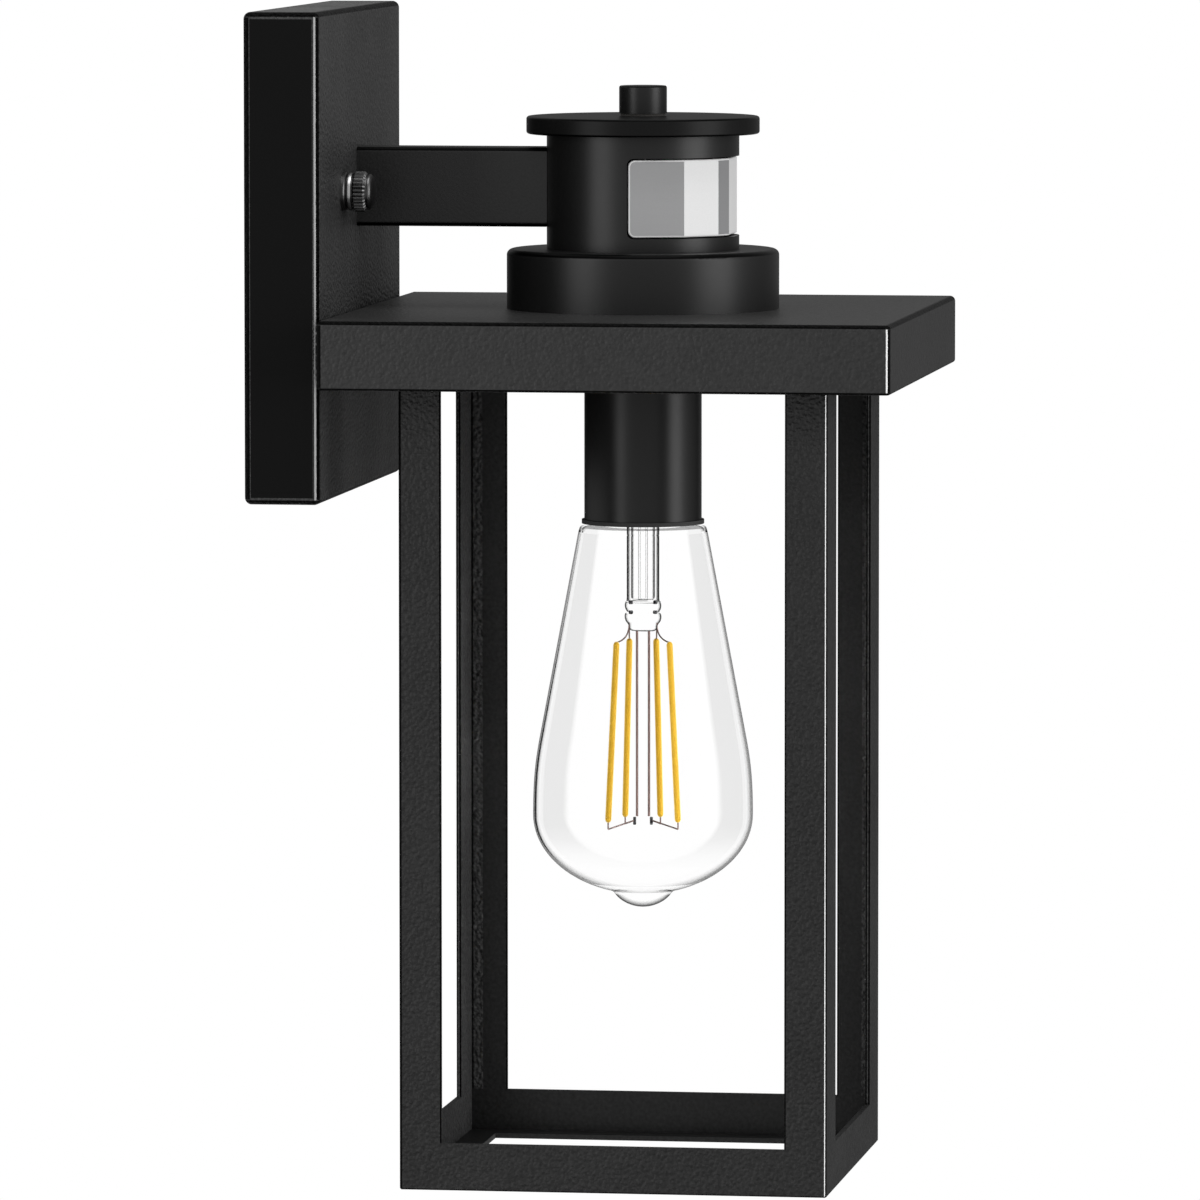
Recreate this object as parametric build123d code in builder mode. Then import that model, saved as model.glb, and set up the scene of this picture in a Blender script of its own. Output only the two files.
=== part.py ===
from build123d import *
from math import acos, cos, degrees, radians, sin, tan
import os

# An outdoor wall lantern with a motion sensor head and a screw-in filament bulb.
# Millimetres, +Z up, front towards -Y. The wall is the plane Y = 0.
# The origin is the middle of the mounting bracket, on the wall.

os.makedirs("parts", exist_ok=True)

# Fits, each a gap per side
SEAT_GAP = 0.05  # flat faces that turn against or lift off each other
THREAD_FIT = 0.05  # a tapped hole round its thread
SLIP_FIT = 0.1  # pieces put together by hand
SCREW_ROOM = 0.2  # a plain hole round a screw or the rod
CONTACT_ROOM = 0.3  # the bulb's tip under its contact spring
SHELL_ROOM = 0.35  # the bulb's base inside the screw shell

# Wall plate, measured from the stud line
PLATE_WIDTH = 140.0
PLATE_ABOVE = 52.6
PLATE_BELOW = 87.8
PLATE_DEPTH = 22.0
PLATE_WALL = 1.2
PLATE_EDGE_RADIUS = 2.0

# Mounting bracket, studs and cap nuts
BRACKET_END = 10.0  # from the middle of a slot to the end of the strap
BRACKET_HEIGHT = 22.0
BRACKET_THICKNESS = 2.0
BOX_SCREW_SPACING = 86.0
SLOT_LENGTH = 16.0
SLOT_WIDTH = 4.8
BRACKET_WIRE_HOLE = 12.0
GROUND_SCREW_PLACE = 13.5
GROUND_SCREW_DIAMETER = 4.0
GROUND_SCREW_HEAD = 7.6
GROUND_SCREW_HEAD_HEIGHT = 2.4
STUD_SPACING = 60.0
STUD_DIAMETER = 4.0
LOCK_NUT_FLATS = 7.0
LOCK_NUT_THICKNESS = 3.2
NUT_WASHER_DIAMETER = 11.2
NUT_WASHER_THICKNESS = 1.2
NUT_WASHER_CHAMFER = 0.35
CAP_NUT_DIAMETER = 11.6
CAP_NUT_NECK_DIAMETER = 9.6
CAP_NUT_NECK = 0.8
CAP_NUT_GRIP = 5.0
CAP_NUT_DOME = 2.4

# Arm
ARM_HEIGHT = 23.0
ARM_WIDTH = 14.0
ARM_WALL = 1.2
ARM_CORNER_RADIUS = 1.5
ARM_RISE = 0.6  # the middle of the arm above the stud line
ARM_PLUG_LENGTH = 10.0
ARM_SCREW_DIAMETER = 3.0
ARM_SCREW_EDGE = 3.7  # from a screw to the end of the plug
ARM_SCREW_HEAD = 5.6
ARM_SCREW_HEAD_HEIGHT = 2.2
SET_SCREW_LENGTH = 7.5
SPIGOT_LENGTH = 12.0
WIRE_HOLE = 6.0

# Sensor head, stacked on the roof cap
COLLAR_DIAMETER = 79.0
COLLAR_HEIGHT = 17.3
COLLAR_WALL = 2.0
COLLAR_EDGE_RADIUS = 1.8
HOUSING_DIAMETER = 55.8
HOUSING_HEIGHT = 33.3
HOUSING_WALL = 2.0
HOUSING_FLOOR = 2.5
LENS_SILL = 3.9  # housing below the lens
LENS_HEAD = 6.3  # housing above the lens
LENS_CORNER_RADIUS = 2.0
LENS_SET_BACK = 0.25  # facet corners behind the housing's surface
LENS_FLANGE = 1.2
LENS_FLANGE_OVERLAP = 6.0  # degrees past each end of the window
LENS_CENTRE_FACET = 36.0  # degrees round the housing
LENS_NARROW_FACET = 12.0  # degrees
LENS_MIDDLE_FACET = 26.5  # degrees
LENS_END_FACET = 35.0  # degrees
LID_DIAMETER = 67.6
LID_THICKNESS = 5.1
LID_EDGE_RADIUS = 0.8
LID_SPIGOT_DEPTH = 3.5
LID_SPIGOT_WALL = 1.8
FINIAL_DIAMETER = 13.85
FINIAL_THREAD = 5.5
FINIAL_CROWN = 2.5
FINIAL_EDGE_RADIUS = 0.6
FINIAL_WASHER_DIAMETER = 13.0
FINIAL_WASHER_THICKNESS = 0.7
ROD_DIAMETER = 10.0
ROD_BORE = 7.0
ROD_NUT_FLATS = 14.0
ROD_NUT_THICKNESS = 3.0

# Circuit boards
BOARD_THICKNESS = 1.6
SENSOR_BOARD_WIDTH = 34.0
SENSOR_BOARD_HEIGHT = 25.0
SENSOR_SCREW_DROP = 5.0  # below the board's top edge
SENSOR_BOARD_SET = 8.0  # its back in front of the rod's axis
PILLAR_SPACING = 26.0
PILLAR_WIDTH = 5.0
PILLAR_DEPTH = 5.0
PIR_DIAMETER = 9.2
PIR_HEIGHT = 4.4
BOARD_SCREW_DIAMETER = 2.5
BOARD_SCREW_LENGTH = 5.0
BOARD_SCREW_HEAD = 4.5
BOARD_SCREW_HEAD_HEIGHT = 1.7
CONTROL_BOARD_ROOM = 1.5  # inside the collar's wall
CONTROL_BOARD_HOLE = 16.0
CONTROL_PILLAR_LENGTH = 9.5
CONTROL_PILLAR_DIAMETER = 6.0
CONTROL_PILLAR_INSET = 6.0
CONTROL_PILLAR_COUNT = 3
RELAY_WIDTH = 10.0
RELAY_LENGTH = 19.0
CAPACITOR_DIAMETER = 8.0
PART_HEADROOM = 1.0

# Roof cap and angle frame
CAP_DROP = 34.5  # the cap's top below the stud line
CAP_WIDTH = 164.0
CAP_DEPTH = 164.0
CAP_HEIGHT = 19.8
CAP_WALL = 1.2
CAP_EDGE_RADIUS = 1.6
CAP_TO_PLATE = 1.0
CAP_OVERHANG_SIDE = 20.25
CAP_OVERHANG_FRONT = 20.25
CAP_BOSS_DIAMETER = 8.0
CAP_BOSS_HEIGHT = 6.0
FRAME_HEIGHT = 243.3
FRAME_SHEET = 1.5
POST_SIDE_LEG = 12.3
POST_FRONT_LEG = 21.0
TOP_RAIL_HEIGHT = 10.0
TOP_RAIL_FLANGE = 12.0
BOTTOM_RAIL_HEIGHT = 13.6
BOTTOM_RAIL_FLANGE = 10.0
FRAME_SCREW_DIAMETER = 4.0
FRAME_SCREW_HEAD = 7.0
FRAME_SCREW_HEAD_HEIGHT = 2.4
FRAME_SCREW_INTO_BOSS = 4.5

# Lampholder, from the bulb's base outwards
BASE_DIAMETER = 26.0
SHELL_WALL = 0.5
HOLDER_WALL = 1.6
CUP_ROOM = 0.7
CUP_WALL = 0.8
CUP_LENGTH = 57.1
CUP_TOP_RADIUS = 2.0
HOLDER_THREAD = 6.5
HOLDER_RECESS = 0.6  # the holder's rim inside the cup's mouth
SHELL_RECESS = 1.2  # the screw shell's rim inside the holder
HOLDER_SHOULDER = 2.1  # the step that the screw shell stops against
SHELL_OVERRUN = 2.0  # screw shell above the bulb's base
CONTACT_HEIGHT = 5.5  # the holder's ceiling above the bulb's tip
CONTACT_WIDTH = 6.0
CONTACT_SHEET = 0.6
CONTACT_REACH = 9.0

# Bulb, measured down from the seal at the cup's mouth
SEAL_THICKNESS = 1.15
SEAL_LIP = 0.75
SEAL_ROOM = 2.4
BASE_LENGTH = 21.3
BASE_RISE = 0.7
BASE_WALL = 0.4
BASE_CRIMP = 2.0
BASE_CRIMP_INSET = 1.6
INSULATOR_HEIGHT = 3.7
INSULATOR_TOP_DIAMETER = 10.4
INSULATOR_PLUG = 3.0
TIP_DIAMETER = 9.6
TIP_HEIGHT = 2.1
GLASS_WALL = 0.8
CEMENT_GAP = 0.2
NECK_INSIDE = 6.0  # neck of the glass inside the base
ROOT_REACH = 2.6  # from the neck out to where the flare is past the seal
ROOT_DROP = 0.4
ROOT_SLOPE = 0.25  # downwards for each millimetre out, under the seal
SHOULDER_DROP = 5.2
SHOULDER_RADIUS = 19.1
BULB_SLOPE = 0.188  # outwards for each millimetre down from the shoulder
TAPER_LENGTH = 58.4  # the straight part of the side
BULB_DIAMETER = 64.0
BULB_WIDEST_DROP = 85.0
BULB_BOTTOM_RISE = 24.1
NUB_RADIUS = 7.6
NUB_HEIGHT = 3.1
NUB_FILLET = 1.6  # the hollow between bowl and nub, outwards
NUB_STEP = 1.1  # the same hollow, downwards
STEM_RADIUS = 4.75
STEM_WALL = 1.3
STEM_LENGTH = 22.0
STEM_PINCH_RADIUS = 5.5
STEM_PINCH_LENGTH = 9.5
STEM_FLARE_LEAN = 0.2
STEM_PINCH_LEAN = 0.5
STEM_END_RADIUS = 3.0
EXHAUST_RADIUS = 1.1
FILAMENT_RADIUS = 0.75
FILAMENT_DROP = 35.5
FILAMENT_LENGTH = 51.5
FILAMENT_TOP_RING = 8.7
FILAMENT_BOTTOM_RING = 11.5
FILAMENT_COUNT = 4
FILAMENT_TURN = 27.0  # from a support wire to the next filament
WIRE_RADIUS = 0.3
SUPPORT_TURN = -80.0
SUPPORT_OFFSET = 1.74

# Places that follow from the sizes above
LANTERN_REACH = PLATE_DEPTH + CAP_TO_PLATE + CAP_DEPTH / 2
CENTRE_LINE = Axis((0, -LANTERN_REACH, 0), (0, 0, 1))
SECTION = Plane.XZ.offset(LANTERN_REACH)
CAP_TOP = -CAP_DROP
HOUSING_BASE = CAP_TOP + COLLAR_HEIGHT
FLOOR_TOP = HOUSING_BASE + HOUSING_FLOOR
LID_BASE = HOUSING_BASE + HOUSING_HEIGHT
LID_TOP = LID_BASE + LID_THICKNESS
FINIAL_BASE = LID_TOP + FINIAL_WASHER_THICKNESS + 2 * SEAT_GAP
ROD_TOP = FINIAL_BASE + FINIAL_THREAD
HOUSING_INNER = HOUSING_DIAMETER / 2 - HOUSING_WALL
COLLAR_CEILING = HOUSING_BASE - COLLAR_WALL
COLLAR_INNER = COLLAR_DIAMETER / 2 - COLLAR_WALL
CAP_CEILING = CAP_TOP - CAP_WALL
CUP_TOP = CAP_CEILING - ROD_NUT_THICKNESS
CUP_CEILING = CUP_TOP - CUP_WALL
CUP_MOUTH = CUP_TOP - CUP_LENGTH
HOLDER_TOP = CUP_CEILING - ROD_NUT_THICKNESS
HOLDER_BOTTOM = CUP_MOUTH + HOLDER_RECESS
ROD_BOTTOM = HOLDER_TOP - HOLDER_THREAD
BULB_SEAT = CUP_MOUTH - SEAT_GAP - SEAL_THICKNESS
BASE_BOTTOM = BULB_SEAT + BASE_RISE
BASE_TOP = BASE_BOTTOM + BASE_LENGTH
TIP_TOP = BASE_TOP + INSULATOR_HEIGHT + TIP_HEIGHT
SHELL_TOP = BASE_TOP + SHELL_OVERRUN
SHELL_BOTTOM = HOLDER_BOTTOM + SHELL_RECESS
BASE_RADIUS = BASE_DIAMETER / 2
SHELL_INNER = BASE_RADIUS + SHELL_ROOM
SHELL_OUTER = SHELL_INNER + SHELL_WALL
HOLDER_BORE = SHELL_OUTER + SLIP_FIT
HOLDER_RADIUS = HOLDER_BORE + HOLDER_WALL
CUP_INNER = HOLDER_RADIUS + CUP_ROOM
CUP_RADIUS = CUP_INNER + CUP_WALL
NECK_RADIUS = BASE_RADIUS - BASE_WALL - CEMENT_GAP
ROD_HOLE = ROD_DIAMETER / 2 + SCREW_ROOM
FRAME_HALF_WIDTH = CAP_WIDTH / 2 - CAP_OVERHANG_SIDE
FRAME_HALF_DEPTH = CAP_DEPTH / 2 - CAP_OVERHANG_FRONT
FRAME_TOP = CAP_CEILING - CAP_BOSS_HEIGHT
FRAME_BOTTOM = FRAME_TOP - FRAME_HEIGHT
WASHER_BACK = PLATE_DEPTH + SEAT_GAP
NUT_BACK = WASHER_BACK + NUT_WASHER_THICKNESS + SEAT_GAP
STUD_END = NUT_BACK + CAP_NUT_NECK + CAP_NUT_GRIP
SIDES = {"left": -1, "right": 1}


def level(height):
    """A horizontal plane at this height, centred on the lantern's axis."""
    return Plane(origin=(0, -LANTERN_REACH, height))


def facing_front(x, depth, height):
    """A plane that faces the front, this deep in front of the wall."""
    return Plane(origin=(x, -depth, height), x_dir=(1, 0, 0), z_dir=(0, -1, 0))


def facing_back(x, depth, height):
    """A plane that faces the wall, this deep in front of it."""
    return Plane(origin=(x, -depth, height), x_dir=(-1, 0, 0), z_dir=(0, 1, 0))


def facing_down(x, y, height):
    """A plane that faces down, placed from the lantern's axis."""
    return Plane(origin=(x, y - LANTERN_REACH, height), x_dir=(1, 0, 0), z_dir=(0, 0, -1))


def add_ring(plane, outer, inner, length):
    """A ring or short tube that stands on a plane."""
    with BuildSketch(plane) as ring:
        Circle(outer)
        Circle(inner, mode=Mode.SUBTRACT)
    extrude(ring.sketch, amount=length)


def cut_hole(plane, radius, length):
    """A round hole from a plane along its normal."""
    with BuildSketch(plane) as hole:
        Circle(radius)
    extrude(hole.sketch, amount=length, mode=Mode.SUBTRACT)


def add_screw(seat, radius, length, head_radius, head_height):
    """A pan-head screw: its head stands on the seat and its shank goes below."""
    with BuildSketch(seat) as head:
        Circle(head_radius)
    extrude(head.sketch, amount=head_height)
    with BuildSketch(seat) as shank:
        Circle(radius)
    extrude(shank.sketch, amount=-length)


def add_hex_nut(plane, flats, bore_radius, thickness):
    """A hexagon nut that stands on a plane."""
    with BuildSketch(plane) as hexagon:
        RegularPolygon(flats / 2, 6, major_radius=False)
        Circle(bore_radius, mode=Mode.SUBTRACT)
    extrude(hexagon.sketch, amount=thickness)


def add_wire(start, end, radius):
    """A straight round wire from one point to another."""
    path = Vector(*end) - Vector(*start)
    with BuildSketch(Plane(origin=start, z_dir=path)) as section:
        Circle(radius)
    extrude(section.sketch, amount=path.length)


def round_the_axis(radius, degrees, height):
    """A point at this radius and angle round the lantern's axis."""
    x = radius * cos(radians(degrees))
    y = radius * sin(radians(degrees)) - LANTERN_REACH
    return (x, y, height)


def rounded_end(radius, height, rise, sweep=90):
    """An elliptical bend in a turned profile, from its side in towards its axis."""
    pull = 4 / 3 * tan(radians(sweep) / 4)
    across = cos(radians(sweep))
    along = sin(radians(sweep))
    return Bezier(
        (radius, height),
        (radius, height + rise * pull),
        (radius * (across + pull * along), height + rise * (along - pull * across)),
        (radius * across, height + rise * along),
    )


# Wall plate: a pan that is open to the wall
PLATE_HEIGHT = PLATE_ABOVE + PLATE_BELOW
PLATE_MIDDLE = (PLATE_ABOVE - PLATE_BELOW) / 2
PLUG_WIDTH = ARM_WIDTH - 2 * ARM_WALL - 2 * SLIP_FIT
PLUG_HEIGHT = ARM_HEIGHT - 2 * ARM_WALL - 2 * SLIP_FIT
ARM_SCREW_SPACING = PLUG_HEIGHT - 2 * ARM_SCREW_EDGE

with BuildPart() as wall_plate:
    with BuildSketch(facing_front(0, 0, PLATE_MIDDLE)):
        Rectangle(PLATE_WIDTH, PLATE_HEIGHT)
    extrude(amount=PLATE_DEPTH)
    back_face = wall_plate.faces().sort_by(Axis.Y)[-1]
    outer_edges = wall_plate.edges() - back_face.edges()
    fillet(outer_edges, PLATE_EDGE_RADIUS)
    offset(amount=-PLATE_WALL, openings=wall_plate.faces().sort_by(Axis.Y)[-1])
    with BuildSketch(facing_back(0, PLATE_DEPTH, 0)):
        with GridLocations(STUD_SPACING, 0, 2, 1):
            Circle(STUD_DIAMETER / 2 + SCREW_ROOM)
        with Locations((0, ARM_RISE)):
            Circle(WIRE_HOLE / 2)
            with GridLocations(0, ARM_SCREW_SPACING, 1, 2):
                Circle(ARM_SCREW_DIAMETER / 2 + SCREW_ROOM)
    extrude(amount=PLATE_WALL, mode=Mode.SUBTRACT)
wall_plate.part.label = "wall_plate"
export_step(wall_plate.part, "parts/wall_plate.step")

# Mounting bracket: a slotted strap flat on the junction box
with BuildPart() as mounting_bracket:
    with BuildSketch(facing_front(0, 0, 0)):
        Rectangle(BOX_SCREW_SPACING + 2 * BRACKET_END, BRACKET_HEIGHT)
        Circle(BRACKET_WIRE_HOLE / 2, mode=Mode.SUBTRACT)
        with GridLocations(BOX_SCREW_SPACING, 0, 2, 1):
            SlotOverall(SLOT_LENGTH, SLOT_WIDTH, mode=Mode.SUBTRACT)
        with GridLocations(STUD_SPACING, 0, 2, 1):
            Circle(STUD_DIAMETER / 2 + THREAD_FIT, mode=Mode.SUBTRACT)
        with Locations((GROUND_SCREW_PLACE, 0)):
            Circle(GROUND_SCREW_DIAMETER / 2 + THREAD_FIT, mode=Mode.SUBTRACT)
    extrude(amount=BRACKET_THICKNESS)
mounting_bracket.part.label = "mounting_bracket"
export_step(mounting_bracket.part, "parts/mounting_bracket.step")

with BuildPart() as ground_screw:
    add_screw(
        facing_front(GROUND_SCREW_PLACE, BRACKET_THICKNESS, 0),
        GROUND_SCREW_DIAMETER / 2,
        BRACKET_THICKNESS,
        GROUND_SCREW_HEAD / 2,
        GROUND_SCREW_HEAD_HEIGHT,
    )
ground_screw.part.label = "ground_screw"
export_step(ground_screw.part, "parts/ground_screw.step")

with BuildPart() as mounting_studs:
    with BuildSketch(facing_front(0, 0, 0)):
        with GridLocations(STUD_SPACING, 0, 2, 1):
            Circle(STUD_DIAMETER / 2)
    extrude(amount=STUD_END)
mounting_studs.part.label = "mounting_studs"
export_step(mounting_studs.part, "parts/mounting_studs.step")

with BuildPart() as stud_lock_nuts:
    for side in SIDES.values():
        add_hex_nut(
            facing_front(side * STUD_SPACING / 2, BRACKET_THICKNESS, 0),
            LOCK_NUT_FLATS,
            STUD_DIAMETER / 2 + THREAD_FIT,
            LOCK_NUT_THICKNESS,
        )
stud_lock_nuts.part.label = "stud_lock_nuts"
export_step(stud_lock_nuts.part, "parts/stud_lock_nuts.step")

# Cap nuts with their captive washers, one on each stud
for side_name, side in SIDES.items():
    stud_place = side * STUD_SPACING / 2

    with BuildPart() as nut_washer:
        add_ring(
            facing_front(stud_place, WASHER_BACK, 0),
            NUT_WASHER_DIAMETER / 2,
            STUD_DIAMETER / 2 + SCREW_ROOM,
            NUT_WASHER_THICKNESS,
        )
        front_rim = nut_washer.edges().group_by(Axis.Y)[0].sort_by(SortBy.RADIUS)[-1]
        chamfer(front_rim, NUT_WASHER_CHAMFER)
    nut_washer.part.label = f"nut_washer_{side_name}"
    export_step(nut_washer.part, f"parts/nut_washer_{side_name}.step")

    with BuildPart() as cap_nut:
        with BuildSketch(Plane(origin=(stud_place, -NUT_BACK, 0), x_dir=(1, 0, 0), z_dir=(0, 0, 1))):
            with BuildLine():
                dome = rounded_end(CAP_NUT_DIAMETER / 2, -CAP_NUT_NECK - CAP_NUT_GRIP, -CAP_NUT_DOME)
                Polyline(
                    dome @ 1,
                    (0, 0),
                    (CAP_NUT_NECK_DIAMETER / 2, 0),
                    (CAP_NUT_NECK_DIAMETER / 2, -CAP_NUT_NECK),
                    (CAP_NUT_DIAMETER / 2, -CAP_NUT_NECK),
                    dome @ 0,
                )
            make_face()
        revolve(axis=Axis((stud_place, 0, 0), (0, 1, 0)))
        cut_hole(
            facing_front(stud_place, NUT_BACK, 0),
            STUD_DIAMETER / 2 + THREAD_FIT,
            CAP_NUT_NECK + CAP_NUT_GRIP + SCREW_ROOM,
        )
    cap_nut.part.label = f"cap_nut_{side_name}"
    export_step(cap_nut.part, f"parts/cap_nut_{side_name}.step")

# Arm: a rectangular tube whose front end is coped to the round housing
ARM_LENGTH = LANTERN_REACH - PLATE_DEPTH
SET_SCREW_DEPTH = LANTERN_REACH - HOUSING_DIAMETER / 2 - SPIGOT_LENGTH / 2

with BuildPart() as arm_tube:
    with BuildSketch(facing_front(0, PLATE_DEPTH, ARM_RISE)):
        RectangleRounded(ARM_WIDTH, ARM_HEIGHT, ARM_CORNER_RADIUS)
        Rectangle(ARM_WIDTH - 2 * ARM_WALL, ARM_HEIGHT - 2 * ARM_WALL, mode=Mode.SUBTRACT)
    extrude(amount=ARM_LENGTH)
    with BuildSketch(level(ARM_RISE - ARM_HEIGHT / 2)):
        Circle(HOUSING_DIAMETER / 2 + SLIP_FIT)
    extrude(amount=ARM_HEIGHT, mode=Mode.SUBTRACT)
    with BuildSketch(Plane(origin=(0, -SET_SCREW_DEPTH, ARM_RISE - ARM_HEIGHT / 2))):
        Circle(ARM_SCREW_DIAMETER / 2 + SCREW_ROOM)
    extrude(amount=ARM_WALL, mode=Mode.SUBTRACT)
arm_tube.part.label = "arm_tube"
export_step(arm_tube.part, "parts/arm_tube.step")

with BuildPart() as arm_plug:
    with BuildSketch(facing_front(0, PLATE_DEPTH, ARM_RISE)):
        Rectangle(PLUG_WIDTH, PLUG_HEIGHT)
        Circle(WIRE_HOLE / 2, mode=Mode.SUBTRACT)
        with GridLocations(0, ARM_SCREW_SPACING, 1, 2):
            Circle(ARM_SCREW_DIAMETER / 2 + THREAD_FIT, mode=Mode.SUBTRACT)
    extrude(amount=ARM_PLUG_LENGTH)
arm_plug.part.label = "arm_plug"
export_step(arm_plug.part, "parts/arm_plug.step")

with BuildPart() as arm_screws:
    for side in SIDES.values():
        add_screw(
            facing_back(0, PLATE_DEPTH - PLATE_WALL, ARM_RISE + side * ARM_SCREW_SPACING / 2),
            ARM_SCREW_DIAMETER / 2,
            PLATE_WALL + ARM_PLUG_LENGTH,
            ARM_SCREW_HEAD / 2,
            ARM_SCREW_HEAD_HEIGHT,
        )
arm_screws.part.label = "arm_screws"
export_step(arm_screws.part, "parts/arm_screws.step")

# Headless screw, flush with the underside of the arm
with BuildPart() as arm_set_screw:
    with BuildSketch(Plane(origin=(0, -SET_SCREW_DEPTH, ARM_RISE - ARM_HEIGHT / 2))):
        Circle(ARM_SCREW_DIAMETER / 2)
    extrude(amount=SET_SCREW_LENGTH)
arm_set_screw.part.label = "arm_set_screw"
export_step(arm_set_screw.part, "parts/arm_set_screw.step")

# Sensor lens and the window that it fills, both wrapped round the front of the housing
WINDOW_HALF_ANGLE = LENS_CENTRE_FACET / 2 + LENS_NARROW_FACET + LENS_MIDDLE_FACET + LENS_END_FACET
WINDOW_BASE = HOUSING_BASE + LENS_SILL
WINDOW_HEIGHT = HOUSING_HEIGHT - LENS_SILL - LENS_HEAD
LENS_FLANGE_OUTER = HOUSING_INNER - SLIP_FIT
LENS_FLANGE_INNER = LENS_FLANGE_OUTER - LENS_FLANGE
LENS_FLANGE_BASE = FLOOR_TOP + SLIP_FIT
LENS_FLANGE_TOP = LID_BASE - LID_SPIGOT_DEPTH - SLIP_FIT


def wrapped_band(half_angle, inner, outer, base, height):
    """A curved band round the front of the axis, from its left end to its right end."""
    away = (-sin(radians(half_angle)), -cos(radians(half_angle)), 0)
    across = (away[1], -away[0], 0)
    with BuildSketch(Plane(origin=(0, -LANTERN_REACH, 0), x_dir=away, z_dir=across)) as section:
        with Locations((inner, base)):
            Rectangle(outer - inner, height, align=(Align.MIN, Align.MIN))
    revolve(section.sketch, axis=CENTRE_LINE, revolution_arc=2 * half_angle)


def window_block(gap):
    """The lens window as a curved block with rounded corners, smaller by a gap all round."""
    half_angle = WINDOW_HALF_ANGLE - gap / radians(HOUSING_DIAMETER / 2)
    with BuildPart() as block:
        wrapped_band(
            half_angle,
            LENS_FLANGE_INNER,
            HOUSING_DIAMETER / 2 + LENS_FLANGE,
            WINDOW_BASE + gap,
            WINDOW_HEIGHT - 2 * gap,
        )
        corners = block.edges().filter_by(GeomType.LINE).filter_by(Axis.Z, reverse=True)
        fillet(corners, LENS_CORNER_RADIUS - gap)
    return block.part


window_cut = window_block(0)
lens_block = window_block(SLIP_FIT)

with BuildPart() as sensor_lens:
    add(lens_block)
    facet_steps = (LENS_CENTRE_FACET / 2, LENS_NARROW_FACET, LENS_MIDDLE_FACET, LENS_END_FACET)
    facet_edges = [sum(facet_steps[: count + 1]) for count in range(len(facet_steps))]
    facet_edges = [-edge for edge in reversed(facet_edges)] + facet_edges
    facet_radius = HOUSING_DIAMETER / 2 - LENS_SET_BACK
    with BuildSketch(level(HOUSING_BASE)):
        with BuildLine():
            corners = [
                (facet_radius * sin(radians(edge)), -facet_radius * cos(radians(edge)))
                for edge in facet_edges
            ]
            Polyline((0, facet_radius), *corners, close=True)
        make_face()
    extrude(amount=HOUSING_HEIGHT, mode=Mode.INTERSECT)
    wrapped_band(
        WINDOW_HALF_ANGLE + LENS_FLANGE_OVERLAP,
        LENS_FLANGE_INNER,
        LENS_FLANGE_OUTER,
        LENS_FLANGE_BASE,
        LENS_FLANGE_TOP - LENS_FLANGE_BASE,
    )
sensor_lens.part.label = "sensor_lens"
export_step(sensor_lens.part, "parts/sensor_lens.step")

# Sensor housing: a cup with the lens window, the board's pillars and a spigot for the arm
SENSOR_BOARD_BACK = LANTERN_REACH + SENSOR_BOARD_SET
SENSOR_SCREW_HEIGHT = FLOOR_TOP + SENSOR_BOARD_HEIGHT - SENSOR_SCREW_DROP
FLOOR_WIRE_PLACE = (ROD_HOLE + HOUSING_INNER) / 2

with BuildPart() as sensor_housing:
    with BuildSketch(level(HOUSING_BASE)):
        Circle(HOUSING_DIAMETER / 2)
    extrude(amount=HOUSING_HEIGHT)
    with BuildSketch(facing_front(0, LANTERN_REACH, ARM_RISE)):
        Rectangle(PLUG_WIDTH, PLUG_HEIGHT)
    extrude(amount=-HOUSING_DIAMETER / 2 - SPIGOT_LENGTH)
    with BuildSketch(level(FLOOR_TOP)):
        Circle(HOUSING_INNER)
    extrude(amount=HOUSING_HEIGHT, mode=Mode.SUBTRACT)
    with BuildSketch(level(FLOOR_TOP)):
        with GridLocations(PILLAR_SPACING, 0, 2, 1):
            with Locations((0, -SENSOR_BOARD_SET)):
                Rectangle(PILLAR_WIDTH, PILLAR_DEPTH, align=(Align.CENTER, Align.MIN))
    extrude(amount=SENSOR_BOARD_HEIGHT)
    cut_hole(level(HOUSING_BASE), ROD_HOLE, HOUSING_FLOOR)
    with BuildSketch(level(HOUSING_BASE)):
        with Locations((0, FLOOR_WIRE_PLACE)):
            Circle(WIRE_HOLE / 2)
    extrude(amount=HOUSING_FLOOR, mode=Mode.SUBTRACT)
    cut_hole(facing_back(0, LANTERN_REACH - ROD_HOLE, ARM_RISE), WIRE_HOLE / 2, LANTERN_REACH)
    for side in SIDES.values():
        cut_hole(
            facing_back(side * PILLAR_SPACING / 2, SENSOR_BOARD_BACK, SENSOR_SCREW_HEIGHT),
            BOARD_SCREW_DIAMETER / 2 + THREAD_FIT,
            PILLAR_DEPTH,
        )
    with BuildSketch(Plane(origin=(0, -SET_SCREW_DEPTH, ARM_RISE - PLUG_HEIGHT / 2))):
        Circle(ARM_SCREW_DIAMETER / 2 + THREAD_FIT)
    extrude(amount=PLUG_HEIGHT / 2, mode=Mode.SUBTRACT)
    add(window_cut, mode=Mode.SUBTRACT)
sensor_housing.part.label = "sensor_housing"
export_step(sensor_housing.part, "parts/sensor_housing.step")

with BuildPart() as sensor_board:
    with BuildSketch(facing_front(0, SENSOR_BOARD_BACK, FLOOR_TOP)):
        Rectangle(SENSOR_BOARD_WIDTH, SENSOR_BOARD_HEIGHT, align=(Align.CENTER, Align.MIN))
        with Locations((0, SENSOR_SCREW_HEIGHT - FLOOR_TOP)):
            with GridLocations(PILLAR_SPACING, 0, 2, 1):
                Circle(BOARD_SCREW_DIAMETER / 2 + SCREW_ROOM, mode=Mode.SUBTRACT)
    extrude(amount=BOARD_THICKNESS)
sensor_board.part.label = "sensor_board"
export_step(sensor_board.part, "parts/sensor_board.step")

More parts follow.
